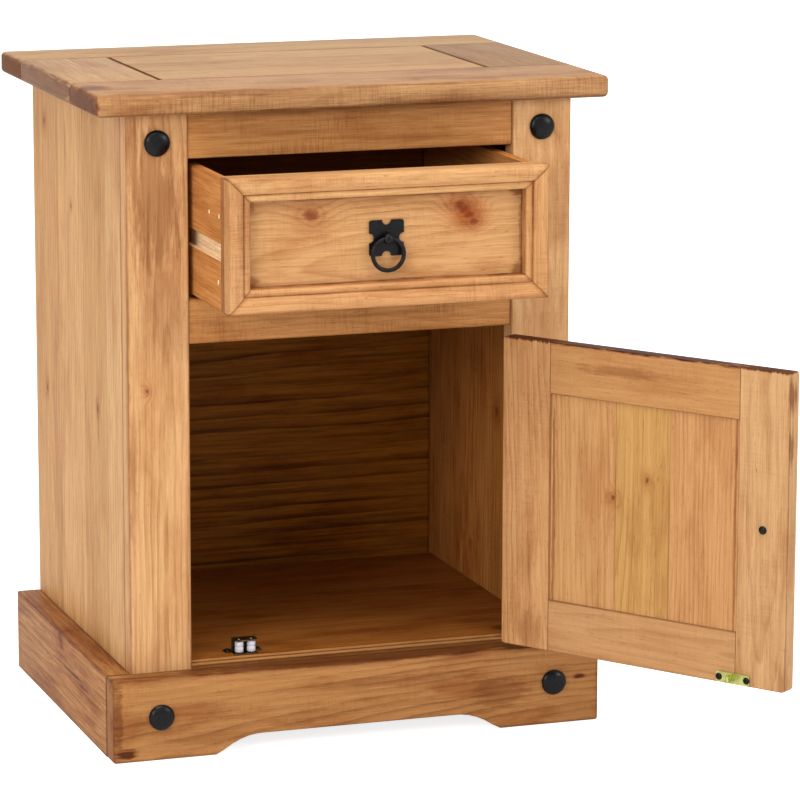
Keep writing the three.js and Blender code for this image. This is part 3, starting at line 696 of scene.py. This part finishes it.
carcassSet = {
    "arris": 1.2,          # mm
    "leftStile": ("d6a674", "a87542"),
    "rightStile": ("dbad7a", "ae7b49"),
    "leftSide": ("dcb17d", "bb8856"),
    "rightSide": ("d9aa74", "b98450"),
    "inner": 0.5,          # smaller arris of boards that meet others flush
    "railLip": 85.8,       # the bottom rail is pale above this height, partly wear and partly painted highlight, and the floor in front of this line
    "baseLip": -165.5,     # and the floor in front of this line
    # inside faces of the sides: a darker stain with painted shade of the interior, more on the left one, which faces
    # away from the lamps
    "leftInner": ("b0763c", "784818"),
    "rightInner": ("cc8c4c", "925c26"),
    "topRail": ("c88e54", "955a2a"),
    "middleRail": ("c88e54", "955a2a"),
    # dark: painted shade on the rail's narrow front strip under the lip of the floor
    "bottomRail": ("8c5a2c", "643c18"),
    "lip": ("cf9c60", "a8743c"),
    # floor and back inside the carcass: a darker stain with painted shade of the interior, deepest on the back
    "base": ("b07439", "744418"),
    "back": ("a4661f", "4c2706"),
    "runner": ("c08a50", "8c5826"),
}


def makeCarcass(values):
    leftStile = pineMaterial("leftStilePine", "left_stile", "z", "front", values["leftStile"], 21,
                             heart=(0, -0.019, -0.008), slope=0.03, spacing=6, edge=2.5, stain=0.4, chatter=0.1,
                             rings=0.65, knots=[(27, 12, 3)],
                             spots=[((212, -9, 2), (90, 14, 30), 0.42), ((110, -9, -6), (60, 14, 20), 0.25),
                                    ((262, -9, 24), (46, 16, 7), 0.4), ((-60, -9, 27), (90, 16, 5), 0.3),
                                    ((0, -9, 31), (300, 7, 1.5), 0.35), ((-140, -9, -29), (150, 10, 4), 0.2)])
    rightStile = pineMaterial("rightStilePine", "right_stile", "z", "front", values["rightStile"], 27,
                              heart=(0, 0.06, -0.02), slope=0.04, spacing=5.5, edge=2.5,
                              spots=[((200, -9, -20), (80, 14, 12), 0.2)])
    sideBoards = [(0.0, "fffcf6"), (0.17, "f3ead6"), (0.42, "fff8ec"), (0.7, "f6ecdd")]
    leftSide = pineMaterial("leftSidePine", "left_side_panel", "z", "side", values["leftSide"], 31, flat="z",
                            heart=(0, 0.1, 0.02), slope=0.02, spacing=5, boards=sideBoards,
                            knots=[(180, 18, 3.5), (254, 125, 6), (-10, -79, 6), (-28, 127, 4)],
                            spots=[((240, 39, 0), (36, 6, 14), 0.42), ((-26, -80, 0), (36, 8, 14), 0.45),
                                   ((-30, 124, 0), (30, 6, 14), 0.35), ((288, -60, 0), (20, 60, 14), 0.3)])
    rightSide = pineMaterial("rightSidePine", "right_side_panel", "z", "side", values["rightSide"], 33, flat="z",
                             heart=(0, 0.1, 0.02), slope=0.02, spacing=5, boards=sideBoards, knots=[(90, -60, 4)])
    leftInner = pineMaterial("leftInnerPine", "left_side_panel", "z", "inside", values["leftInner"], 35, flat="z",
                             heart=(0, 0.05, 0.1), boards=sideBoards)
    rightInner = pineMaterial("rightInnerPine", "right_side_panel", "z", "inside", values["rightInner"], 37,
                              flat="z", heart=(0, 0.05, 0.1), boards=sideBoards, chatter=0.6, knots=[(-50, -41, 8)],
                              spots=[((-211, 38, 0), (14, 8, 20), 0.5)])
    topRail = pineMaterial("topRailPine", "top_rail", "x", "rail", values["topRail"], 41, heart=(0, 0.06, 0.02),
                           slope=0.03, spacing=7, edge=2.0)
    middleRail = pineMaterial("middleRailPine", "middle_rail", "x", "rail", values["middleRail"], 45,
                              heart=(0, 0.03, 0.015), slope=0.12, spacing=6, edge=2.0)
    bottomRail = pineMaterial("bottomRailPine", "bottom_rail", "x", "rail", values["bottomRail"], 47)
    base = pineMaterial("basePine", "base_panel", "x", "inside", values["base"], 51, flat="z",
                        heart=(0, 0.03, -0.04), slope=0.05, spacing=7, end=0.4,
                        boards=[(0.0, "fff4e4"), (0.3, "f2e4d0"), (0.62, "fff0dc")],
                        spots=[((160, -121, 2), (34, 12, 6), 0.4), ((172, -156, 2), (14, 9, 6), 0.6)])
    back = pineMaterial("backPine", "back_panel", "x", "inside", values["back"], 53, heart=(0, -0.05, 0.03),
                        slope=0.06, spacing=14, end=0.3, rings=0.8)
    easedCopy("left_stile", leftStile, values["arris"])
    easedCopy("right_stile", rightStile, values["arris"])
    sideInner = abs(boxOf("left_side_panel")[1][0])

    def facingIn(centres):
        return np.abs(centres[:, 0]) < sideInner + 0.2 * mm

    # the inside faces get the darker copy, with its painted shade
    easedCopy("left_side_panel", leftSide, values["inner"], second=leftInner, secondWhere=facingIn)
    easedCopy("right_side_panel", rightSide, values["inner"], second=rightInner, secondWhere=facingIn)
    easedCopy("top_rail", topRail, values["inner"])
    easedCopy("middle_rail", middleRail, values["inner"])
    # pale arrises along the step in front of the floor: partly worn bare wood, partly painted highlight where the
    # step catches the light
    frontRow = pineMaterial("baseLipPine", "base_panel", "x", "bare", values["lip"], 59, flat="z")
    railTop = pineMaterial("railLipPine", "bottom_rail", "x", "bare", values["lip"], 60)
    easedCopy("bottom_rail", bottomRail, 0.9, second=railTop,
              secondWhere=lambda centres: centres[:, 2] > values["railLip"] * mm)
    easedCopy("base_panel", base, 1.1, second=frontRow,
              secondWhere=lambda centres: centres[:, 1] < values["baseLip"] * mm)
    easedCopy("back_panel", back, 0.4)
    for side in ("left", "right"):
        node = side + "_drawer_runner"
        strip = pineMaterial(side + "RunnerPine", node, "y", "box", values["runner"], 57, flat="z")
        easedCopy(node, strip, 0.8)


makeCarcass(carcassSet)
print("carcass made")


plinthSet = {
    "arris": 2.5,
    "foot": 147.3,         # half width of the arch at the floor, mm
    "spring": 103.2,       # half width of its straight middle
    "rise": 18.0,
    "front": ("b27e4a", "82522a"),
    "side": ("bd8750", "91592c"),
}


def makePlinth(values):
    arris = values["arris"] * mm
    front = pineMaterial("plinthFrontPine", "plinth_front", "x", "front", values["front"], 61,
                         heart=(0, 0.02, -0.05), slope=0.1, spacing=7, stain=0.65, rings=0.75, edge=4.0, end=0.5,
                         spots=[((0, 4, 42), (300, 40, 4), 0.62), ((-242, -13, -33), (14, 8, 6), 0.85),
                                ((-250, -13, 0), (5, 8, 50), 0.45), ((150, -13, -4), (40, 8, 20), 0.4),
                                ((235, -13, 7), (9, 8, 3), 0.8), ((-150, -13, -22), (60, 8, 10), 0.3),
                                ((20, -13, 18), (130, 8, 7), 0.3)])
    left = pineMaterial("plinthLeftPine", "plinth_left", "y", "front", values["side"], 63,
                        heart=(0, 0.03, 0.02), slope=0.04, spacing=5, edge=4.0, stain=0.7, fibre=1.5,
                        knots=[(0, 36, 11)],
                        spots=[((-8, 12, 30), (9, 12, 8), 0.5), ((-40, 12, 10), (66, 12, 1.4), 0.85),
                               ((-96, 12, 6), (30, 12, 2), 0.5), ((0, 0, 42), (200, 30, 3), 0.3)])
    right = pineMaterial("plinthRightPine", "plinth_right", "y", "front", values["side"], 67, flat="z",
                         heart=(0, 0.04, -0.03), slope=0.05, spacing=5, edge=4.0)
    def archHeight(x):
        # straight in the middle; the ends fall on a parabola that leaves the straight smoothly
        t = np.clip((values["foot"] * mm - np.abs(x)) / ((values["foot"] - values["spring"]) * mm), 0, 1)
        return values["rise"] * mm * (2 * t - t * t)

    easedBoard("plinth_front", "x", [mm, arris, arris, mm], (arris, arris), front, floor=archHeight)
    easedBoard("plinth_left", "y", [mm, arris, mm, mm], (0.5 * mm, arris), left)
    easedBoard("plinth_right", "y", [arris, mm, mm, mm], (0.5 * mm, arris), right)


makePlinth(plinthSet)
print("plinth made")


studSet = {"rim": 0.7, "steps": 12}     # mm, steps from the rim to the crown


def makeStuds(values):
    for node in ("left_stile_stud", "right_stile_stud", "left_plinth_stud", "right_plinth_stud"):
        low, high = boxOf(node)
        radius = (high[0] - low[0]) / 2
        face = -0.175 if "stile" in node else -0.202
        centre = ((low[0] + high[0]) / 2, face - 0.3 * mm, (low[2] + high[2]) / 2)
        rise = face - 0.3 * mm - low[1]
        # rim, then a dome r = R cos(t)^0.9, h = rim + (rise - rim) sin(t)
        t = np.linspace(0, math.pi / 2 * 0.985, values["steps"])
        rim = values["rim"] * mm
        profile = [(radius * 0.2, -0.0001), (radius * 0.97, -0.0001), (radius, 0.3 * mm)]
        profile += list(zip(radius * np.cos(t) ** 0.9, rim + (rise - rim) * np.sin(t)))
        turnedPiece(camelName(node), profile, centre, (0, -1, 0), blackIron, "carcass",
                    [node], uneven=0.012, smooth=50)


makeStuds(studSet)
print("studs made")


drawerSet = {
    "rise": 15.7,          # how far the moulding stands off the board, mm
    "stations": 60,        # steps along each strip
    "mitre": 0.2,          # gap left at the mitres
    "panel": ("cf9d68", "a46e3e"),
    "bottom": ("cf9a66", "a26c3c"),
    "left": ("ca9764", "a16c3e"),
    "top": ("d6a46e", "a87442"),
    "right": ("cd9964", "a06c3c"),
    "side": ("cc8c4e", "985820"),
    "groove": ("f8dcb4", "dcb07a"),
    "grooveDepth": (2, 7),        # where the sides are bare wood: mm in from their outer face,
    "grooveLevel": (500, 530),    # and mm above the floor
    "box": ("8a5628", "5c3410"),
}


def drawerOutline(values):
    # across the strip from its outer edge, its relief, and how much painted shade lies there:
    # round arris, falling crest, quirk, bead, foot
    rise = values["rise"]
    t = np.linspace(0, 1, 8)
    arris = np.stack([4.2 * t * t, rise - 4 + 4 * (2 * t - t * t), 0 * t], axis=1)
    crest = np.stack([4.2 + 11 * t[1:], rise - 2.6 * t[1:] ** 2, 0.15 * t[1:] ** 3], axis=1)
    quirk = np.array([[15.6, rise - 3.6, 0.45], [16.1, rise - 4.9, 0.8], [16.7, rise - 4.7, 0.4]])
    turn = np.linspace(-0.75, 1.6, 12)
    bead = np.stack([19.9 + 3.2 * np.sin(turn), rise - 6.9 + 3.2 * np.cos(turn),
                     np.where(turn > 1.2, 0.4, 0.0)], axis=1)
    foot = np.array([[23.3, 3.0, 0.7], [24.0, 1.6, 0.95], [24.0, 0.0, 1.0]])
    outline = np.concatenate([[[0.0, 0.0, 0.1]], arris, crest, quirk, bead, foot])
    return outline[:, :2] * mm, outline[:, 2]


def mitredStrip(node, outline, hollow, length, turn, middle, offset, values, material, matrix=None):
    # the outline carried along a side: x = (2s - 1)(length / 2 - across - mitre), so both ends are cut at 45
    # degrees; the relief waves by a few hundredths of a millimetre as a hand-scraped strip does
    s = np.linspace(0, 1, values["stations"])[:, None]
    across, relief = outline[:, 0][None, :], outline[:, 1][None, :]
    x = (2 * s - 1) * (length / 2 - across - values["mitre"] * mm)
    wave = 0.1 * mm * np.sin(s * 31 + across * 900) * np.sin(s * 11 + 1) * (relief > 1 * mm)
    local = np.stack([x, -(relief - np.abs(wave)) + 0 * x, across - offset + 0 * x], axis=-1).reshape(-1, 3)
    cosine, sine = math.cos(turn), math.sin(turn)
    spin = np.array([[cosine, 0, sine], [0, 1, 0], [-sine, 0, cosine]])
    points = local @ spin.T + np.array(middle)
    if matrix is not None:
        points = points @ np.array(matrix.to_3x3()).T + np.array(matrix.translation)
    piece = meshPiece(camelName(node), points, gridFaces(values["stations"], len(outline)), material, bodyOf[node],
                      [node], smooth=32)
    # the mitre itself holds a line of wax; the rest of the mask is painted shade in the hollows of the profile
    mitre = np.exp(-(0.5 - np.abs(s - 0.5)) * length / (0.5 * mm))
    wax = np.maximum(hollow[None, :], 0.55 * mitre).ravel()
    attribute = piece.data.attributes.new("hollow", "FLOAT", "POINT")
    attribute.data.foreach_set("value", wax)
    return outward(piece)


def makeDrawer(values):
    low, high = boxOf("drawer_front_board")
    width, height = high[0] - low[0], high[2] - low[2]
    middle = ((low[0] + high[0]) / 2, low[1] - 0.3 * mm, (low[2] + high[2]) / 2)
    outline, hollow = drawerOutline(values)
    turns = {"bottom": 0, "left": math.pi / 2, "top": math.pi, "right": -math.pi / 2}
    for seed, (side, turn) in enumerate(turns.items()):
        upright = side in ("left", "right")
        node = "drawer_" + side + "_moulding"
        wood = pineMaterial(camelName(node) + "Pine", node, "z" if upright else "x", "front",
                            values[side], 70 + seed * 3, heart=(0, 0.05, 0.03 - 0.02 * seed), slope=0.03,
                            spacing=4.5, edge=1.6, chatter=0.9, rings=0.4, hollow=True, end=0.3)
        mitredStrip(node, outline, hollow, height if upright else width, turn, middle,
                    (width if upright else height) / 2, values, wood)
    # painted shade along the moulding and in the corners of the panel
    panel = pineMaterial("drawerPanelPine", "drawer_front_board", "x", "front", values["panel"], 83,
                         heart=(0, 0.04, -0.025), slope=0.05, spacing=5.5, edge=0.5, chatter=0.5,
                         knots=[(-76, 26, 10), (75, 28, 7.5), (80, 24, 7.5), (85, 18, 7), (90, 11, 6)],
                         spots=[((-137, -5, -40), (10, 5, 12), 0.45), ((137, -5, 39), (12, 5, 8), 0.6),
                                ((137, -5, -38), (10, 5, 8), 0.5), ((-137, -5, 36), (6, 5, 14), 0.35),
                                ((0, -5, -42), (150, 5, 2.4), 0.35), ((0, -5, 42), (150, 5, 2.6), 0.4),
                                ((138.5, -5, 0), (3, 5, 50), 0.4), ((-138.5, -5, 0), (2.4, 5, 50), 0.3)])
    easedCopy("drawer_front_board", panel, 0.5)
    for side in ("left", "right"):
        node = "drawer_" + side + "_side"
        seed = 87 if side == "left" else 89
        wood = pineMaterial(side + "DrawerSidePine", node, "y", "box", values["side"], seed, flat="z",
                            heart=(0, 0.03, 0.05), slope=0.04, spacing=6, edge=1.5)
        bare = pineMaterial(side + "GroovePine", node, "y", "bare", values["groove"], 91, flat="z", edge=0.4)
        sideLow, sideHigh = boxOf(node)
        outer = max(abs(sideLow[0]), abs(sideHigh[0]))

        def inGroove(centres, outer=outer):
            depth = outer - np.abs(centres[:, 0])
            shallow, deep = (v * mm for v in values["grooveDepth"])
            low, high = (v * mm for v in values["grooveLevel"])
            return (depth > shallow) & (depth < deep) & (centres[:, 2] > low) & (centres[:, 2] < high)

        easedCopy(node, wood, 0.7, second=bare, secondWhere=inGroove)
    for node in ("drawer_bottom", "drawer_back"):
        wood = pineMaterial(node.replace("_b", "B") + "Pine", node, "x", "box", values["box"], 95, flat="z",
                            heart=(0, 0.04, 0.05))
        easedCopy(node, wood, 0.5)


makeDrawer(drawerSet)
print("drawer made")


doorSet = {
    "rise": 7.6,           # how far the bead stands off the panel, mm
    "stations": 30,
    "mitre": 0.2,
    "free": ("cca06f", "a17043"),
    "hinge": ("d09c68", "a06a3a"),
    "top": ("c08c58", "966434"),
    "bottom": ("c29262", "9a6a3c"),
    "panel": ("cda26f", "a37444"),
    "bead": ("cd9a66", "a06c3c"),
}


def doorPlace():
    return Matrix.Translation((doorPin.x, doorPin.y, 0)) @ doorTurn.to_4x4()


def beadOutline(values):
    # across, relief and painted shade of the small moulding: round arris, crest, quirk, cove down to the panel
    t = np.linspace(0, 1, 7)
    rise = values["rise"]
    arris = np.stack([1.5 * t * t, rise - 1.5 + 1.5 * (2 * t - t * t), 0 * t], axis=1)
    crest = np.stack([1.5 + 4.5 * t[1:], rise - 2.4 * t[1:] ** 2, 0 * t[1:]], axis=1)
    cove = np.stack([6.4 + 5.6 * t, 1.6 + (rise - 5) * (1 - t) ** 1.8,
                     np.where((t < 0.1) | (t > 0.9), 0.9, 0.1)], axis=1)
    outline = np.concatenate([[[0.0, 0.0, 0.6]], arris, crest, cove, [[12.0, 0.0, 1.0]]])
    return outline[:, :2] * mm, outline[:, 2]


def makeDoor(values):
    # in the door's boards Y runs from its outside to its inside; the outer ends of its stiles are rough and dark
    boards = {
        "door_free_stile": ("z", "front", values["free"], 103, dict(
            heart=(0, 0.05, 0.0), slope=0.03, spacing=5.5,
            spots=[((157, 4, 0), (2.4, 14, 60), 0.8), ((134, 9, 28), (20, 14, 3), 0.6),
                   ((86, 9, 29), (24, 14, 2.4), 0.55),
                   ((-150, 9, 24), (20, 12, 8), 0.35)])),
        "door_hinge_stile": ("z", "front", values["hinge"], 107, dict(
            heart=(0, 0.06, 0.05), slope=0.03, spacing=4.5, rings=0.65,
            spots=[((157, 2, 0), (2.4, 14, 60), 0.8), ((-142, 9, 7), (28, 12, 22), 0.32),
                   ((-40, 9, 6), (60, 12, 6), 0.2)])),
        "door_top_rail": ("x", "rail", values["top"], 109, dict(
            heart=(0, 0.04, 0.02), slope=0.04, spacing=9, chatter=0.4, fibre=0.45, rings=0.2, stain=0.3,
            spots=[((0, 2, 26), (200, 14, 3.6), 0.95), ((28, 9, 5), (56, 12, 8), 0.35)])),
        "door_bottom_rail": ("x", "rail", values["bottom"], 113, dict(
            heart=(0, -0.003, 0.0), slope=0.06, spacing=8, chatter=0.3, fibre=0.4, rings=0.4, stain=0.25)),
    }
    for node, (grain, finish, colours, seed, extra) in boards.items():
        wood = pineMaterial(camelName(node) + "Pine", node, grain, finish, colours, seed, onDoor=True, edge=1.2,
                            **extra)
        easedCopy(node, wood, 0.18)
    # the two long spots along the top and bottom of the panel are painted shade beside the bead
    panel = pineMaterial("doorPanelPine", "door_panel", "z", "side", values["panel"], 117, heart=(0, 0.07, 0.02),
                         slope=0.03, spacing=5, onDoor=True, rings=0.55, fibre=0.6, edge=1.0, stain=0.35,
                         knots=[(9, -35, 4), (32, 4, 4)],
                         boards=[(0.0, "fbeee4"), (0.36, "f8f0d2"), (0.63, "fdeee6")],
                         spots=[((0, 0, -105), (200, 12, 2.2), 0.5), ((0, 0, 105), (200, 12, 2.0), 0.5)])
    easedCopy("door_panel", panel, 0.4)

    turn, middle, half = grainFrame("door_bottom_bead", "x", True)
    leftHalf = grainFrame("door_left_bead", "x", True)[2]
    width = 2 * half[0] + 2 * values["mitre"] * mm
    height = 2 * leftHalf[2] + 2 * values["mitre"] * mm
    atPin = np.array(doorTurn.inverted()) @ np.array((doorPin.x, doorPin.y, 0))
    centre = (middle[0] - atPin[0], middle[1] + half[1] - atPin[1], middle[2] - half[2] + height / 2)
    outline, hollow = beadOutline(values)
    turns = {"bottom": 0, "left": math.pi / 2, "top": math.pi, "right": -math.pi / 2}
    for seed, (side, spin) in enumerate(turns.items()):
        upright = side in ("left", "right")
        node = "door_" + side + "_bead"
        wood = pineMaterial(camelName(node) + "Pine", node, "z" if upright else "x", "front",
                            values["bead"], 120 + seed * 3, heart=(0, 0.05, 0.03), slope=0.03, onDoor=True,
                            edge=1.0, hollow=True, end=0.3)
        mitredStrip(node, outline, hollow, height if upright else width, spin, centre,
                    (width if upright else height) / 2, values, wood, doorPlace())


makeDoor(doorSet)
print("door made")


ringSet = {"mean": 15.7, "bar": 2.15}     # mm


def ringPiece(name, node, centre, across, values, body):
    # a torus round the axis "across": radius mean + bar cos b, height bar sin b; the bar swells by a sine of a,
    # as a forged ring's does
    a = np.linspace(0, 2 * math.pi, 72, endpoint=False)[:, None]
    b = np.linspace(0, 2 * math.pi, 16, endpoint=False)[None, :]
    bar = values["bar"] * mm * (0.985 + 0.015 * np.sin(5 * a + 1.0))
    r = values["mean"] * mm + bar * np.cos(b)
    local = np.stack([r * np.cos(a), r * np.sin(a), bar * np.sin(b)], axis=-1).reshape(-1, 3)
    turn = np.array(Vector(across).to_track_quat("Z", "Y").to_matrix())
    points = local @ turn.T + np.array(centre)
    return outward(meshPiece(name, points, gridFaces(72, 16, closeRows=True), blackIron, body, [node]))


def makePulls(values):
    low, high = boxOf("drawer_pull_ring")
    ringPiece("drawerRing", "drawer_pull_ring", (low + high) / 2, (0, 1, 0), values, "drawer_ring")
    low, high = boxOf("door_pull_ring")
    ringPiece("doorRing", "door_pull_ring", (low + high) / 2, doorTurn @ Vector((0, 1, 0)), values, "door_ring")
    for pull in ("drawer", "door"):
        easedCopy(pull + "_pull_plate", blackIron, 0.45)
        easedCopy(pull + "_pull_post", blackIron, 0.3)
        easedCopy(pull + "_pull_screw", blackIron, 0.25)


makePulls(ringSet)
print("pulls made")


def screwHead(name, centre, direction, material, body, radius=3.2, rise=1.7):
    # domed head with a cross recess: the dome drops where the smaller of |x| and |y| is under the slot width
    rings, count = 14, 48
    t = np.linspace(0, 1, rings)[:, None]
    angle = np.linspace(0, 2 * math.pi, count, endpoint=False)[None, :]
    r = radius * mm * np.cos(t * math.pi / 2 * 0.97)
    x, y = r * np.cos(angle), r * np.sin(angle)
    height = rise * mm * np.sin(t * math.pi / 2) + 0 * angle
    recess = (np.minimum(np.abs(x), np.abs(y)) < 0.42 * mm) & (np.hypot(x, y) < radius * 0.62 * mm)
    height = np.where(recess, np.minimum(height, 0.55 * rise * mm), height)
    skirt = np.stack([x[:1], y[:1], 0 * x[:1] - 0.3 * mm], axis=-1)
    local = np.concatenate([skirt, np.stack([x, y, height], axis=-1)]).reshape(-1, 3)
    turn = np.array(Vector(direction).to_track_quat("Z", "Y").to_matrix())
    points = local @ turn.T + np.array(centre)
    return outward(meshPiece(name, points, gridFaces(rings + 1, count), material, body, smooth=30))


fittingSet = {
    "catchScrew": 3.6,     # radius of its head, mm
    "catchApart": 15,      # its screws from the middle of the catch
    "strikeScrew": 3.6,
    "strikeApart": 15.5,
    "strikeAt": (-273, 18.9, 94.9),     # middle of the strike on the closed door, from the foot of the hinge pin
    "leafScrew": 2.3,
    "leafApart": 13,
    "fixedLeaf": (1.0, 22),             # its screws, across and back from the pin
    "movingLeaf": (-1.0, 9.5),
    "hinges": {"lower": 150, "upper": 350},     # height of their middles
}


def makeFittings(values):
    easedCopy("catch_cage", bronzedAndShadedZinc, 0.15)
    easedCopy("door_strike", yellowZinc, 0.15)
    for side in ("left", "right"):
        node = side + "_catch_roller"
        low, high = boxOf(node)
        radius = (high[0] - low[0]) / 2
        height = high[2] - low[2]
        nub = 1.2 * mm
        # pin end, eased lower rim, shallow groove round the middle, eased upper rim, pin end
        profile = [(0.0002, 0), (nub, 0), (nub, 1.5 * mm), (radius - 0.6 * mm, 1.5 * mm), (radius, 2.1 * mm),
                   (radius, height / 2 - 0.9 * mm), (radius - 0.5 * mm, height / 2),
                   (radius, height / 2 + 0.9 * mm), (radius, height - 2.3 * mm),
                   (radius - 0.6 * mm, height - 1.7 * mm), (nub, height - 1.7 * mm), (nub, height), (0.0002, height)]
        centre = ((low[0] + high[0]) / 2, (low[1] + high[1]) / 2, low[2])
        turnedPiece(side + "CatchRoller", profile, centre, (0, 0, 1), whiteNylon, bodyOf[node],
                    [node], smooth=50)
    low, high = boxOf("catch_cage")
    catchX = (low[0] + high[0]) / 2
    for side, sign in (("left", -1), ("right", 1)):
        seat = (catchX + sign * values["catchApart"] * mm, high[1] - 5 * mm, low[2] + mm)
        screwHead(side + "CatchScrew", seat, (0, 0, 1), blackIron, "carcass", values["catchScrew"], 1.9)
    inward = doorTurn @ Vector((0, 1, 0))
    base = doorPlace()
    x, y, z = values["strikeAt"]
    for name, sign in (("inner", -1), ("outer", 1)):
        seat = base @ Vector(((x + sign * values["strikeApart"]) * mm, y * mm, z * mm))
        screwHead(name + "StrikeScrew", seat, inward, blackIron, "door", values["strikeScrew"], 1.6)
    across = doorTurn @ Vector((1, 0, 0))
    for level, height in values["hinges"].items():
        for part in ("fixed_leaf", "moving_leaf"):
            easedCopy(level + "_hinge_" + part, dullBrass, 0.15)
        easedCopy(level + "_hinge_pin", dullBrass, 0.2)
        for k, rise in enumerate((-values["leafApart"], values["leafApart"])):
            x, y = values["fixedLeaf"]
            spot = (doorPin.x + x * mm, doorPin.y + y * mm, (height + rise) * mm)
            screwHead("%sFixedLeafScrew%d" % (level, k), spot, (-1, 0, 0), dullBrass, "carcass",
                      values["leafScrew"], 0.35)
            x, y = values["movingLeaf"]
            spot = base @ Vector((x * mm, y * mm, (height + rise) * mm))
            screwHead("%sMovingLeafScrew%d" % (level, k), spot, across, dullBrass, "door",
                      values["leafScrew"], 0.35)


makeFittings(fittingSet)

# dowel ends that show on the outside of the drawer's sides
dowelSet = {"radius": 2.4, "at": [(36, 91), (3, 91), (6, 27)]}     # mm back from the front end, mm above the edge


def makeDowels(values):
    for side, sign in (("left", -1), ("right", 1)):
        node = "drawer_" + side + "_side"
        low, high = boxOf(node)
        outer = low[0] if sign < 0 else high[0]
        pale = bpy.data.materials.get(side + "GroovePine")
        for k, (back, up) in enumerate(values["at"]):
            centre = (outer, low[1] + (back + 3.5) * mm, low[2] + up * mm)
            profile = [(0.0003, -0.3 * mm), (values["radius"] * mm, -0.3 * mm), (values["radius"] * mm, 0.1 * mm),
                       (values["radius"] * 0.85 * mm, 0.22 * mm), (0.0003, 0.25 * mm)]
            turnedPiece("%sDowel%d" % (side, k), profile, centre, (sign, 0, 0), pale, "drawer",
                        count=20)


makeDowels(dowelSet)
print("fittings made")


studioSet = {
    "world": ("ffffff", 0.8),     # the light it gives; the sky itself shows as white paper
    "floor": "f0f0f0",
    "glow": 0.8,           # the paper floor's own share of light, so that it burns out to white
    "lights": [
        # name, place, aims at, size, watts
        ("overhead", (-0.6, -1.2, 3.4), (0, 0, 0.4), 2.6, 62),
        ("frontLeft", (-2.8, -2.6, 1.6), (0, 0, 0.35), 1.4, 40),
        ("frontRight", (2.8, -3.0, 1.9), (0, 0, 0.35), 1.4, 38),
    ],
}


def makeStudio(values):
    mesh = bpy.data.meshes.new("floor")
    reach = 14
    mesh.from_pydata([(-reach, -reach, -0.0005), (reach, -reach, -0.0005), (reach, reach, -0.0005),
                      (-reach, reach, -0.0005)], [], [(0, 1, 2, 3)])
    floor = bpy.data.objects.new("floor", mesh)
    bpy.context.collection.objects.link(floor)
    material = bpy.data.materials.new("paleFloor")
    material.use_nodes = True
    tree = material.node_tree
    shader = tree.nodes["Principled BSDF"]
    shader.inputs["Base Color"].default_value = tone(values["floor"])
    shader.inputs["Roughness"].default_value = 0.9
    shader.inputs["Emission Color"].default_value = (1, 1, 1, 1)
    seen = tree.nodes.new("ShaderNodeLightPath").outputs["Is Camera Ray"]
    wire(tree, times(tree, seen, values["glow"]), shader.inputs["Emission Strength"])
    mesh.materials.append(material)
    world = bpy.data.worlds.new("studio")
    world.use_nodes = True
    colour, strength = values["world"]
    background = world.node_tree.nodes["Background"]
    background.inputs[0].default_value = tone(colour)
    seen = world.node_tree.nodes.new("ShaderNodeLightPath").outputs["Is Camera Ray"]
    wire(world.node_tree, mathNode(world.node_tree, "MAXIMUM", seen, strength), background.inputs[1])
    bpy.context.scene.world = world
    for name, spot, aim, size, watts in values["lights"]:
        data = bpy.data.lights.new(name, "AREA")
        data.shape = "DISK"
        data.size = size
        data.energy = watts
        light = bpy.data.objects.new(name, data)
        light.location = spot
        light.rotation_mode = "QUATERNION"
        light.rotation_quaternion = (Vector(aim) - Vector(spot)).to_track_quat("-Z", "Y")
        bpy.context.collection.objects.link(light)
    bpy.context.scene.view_settings.view_transform = "Standard"


makeStudio(studioSet)
print("studio made")
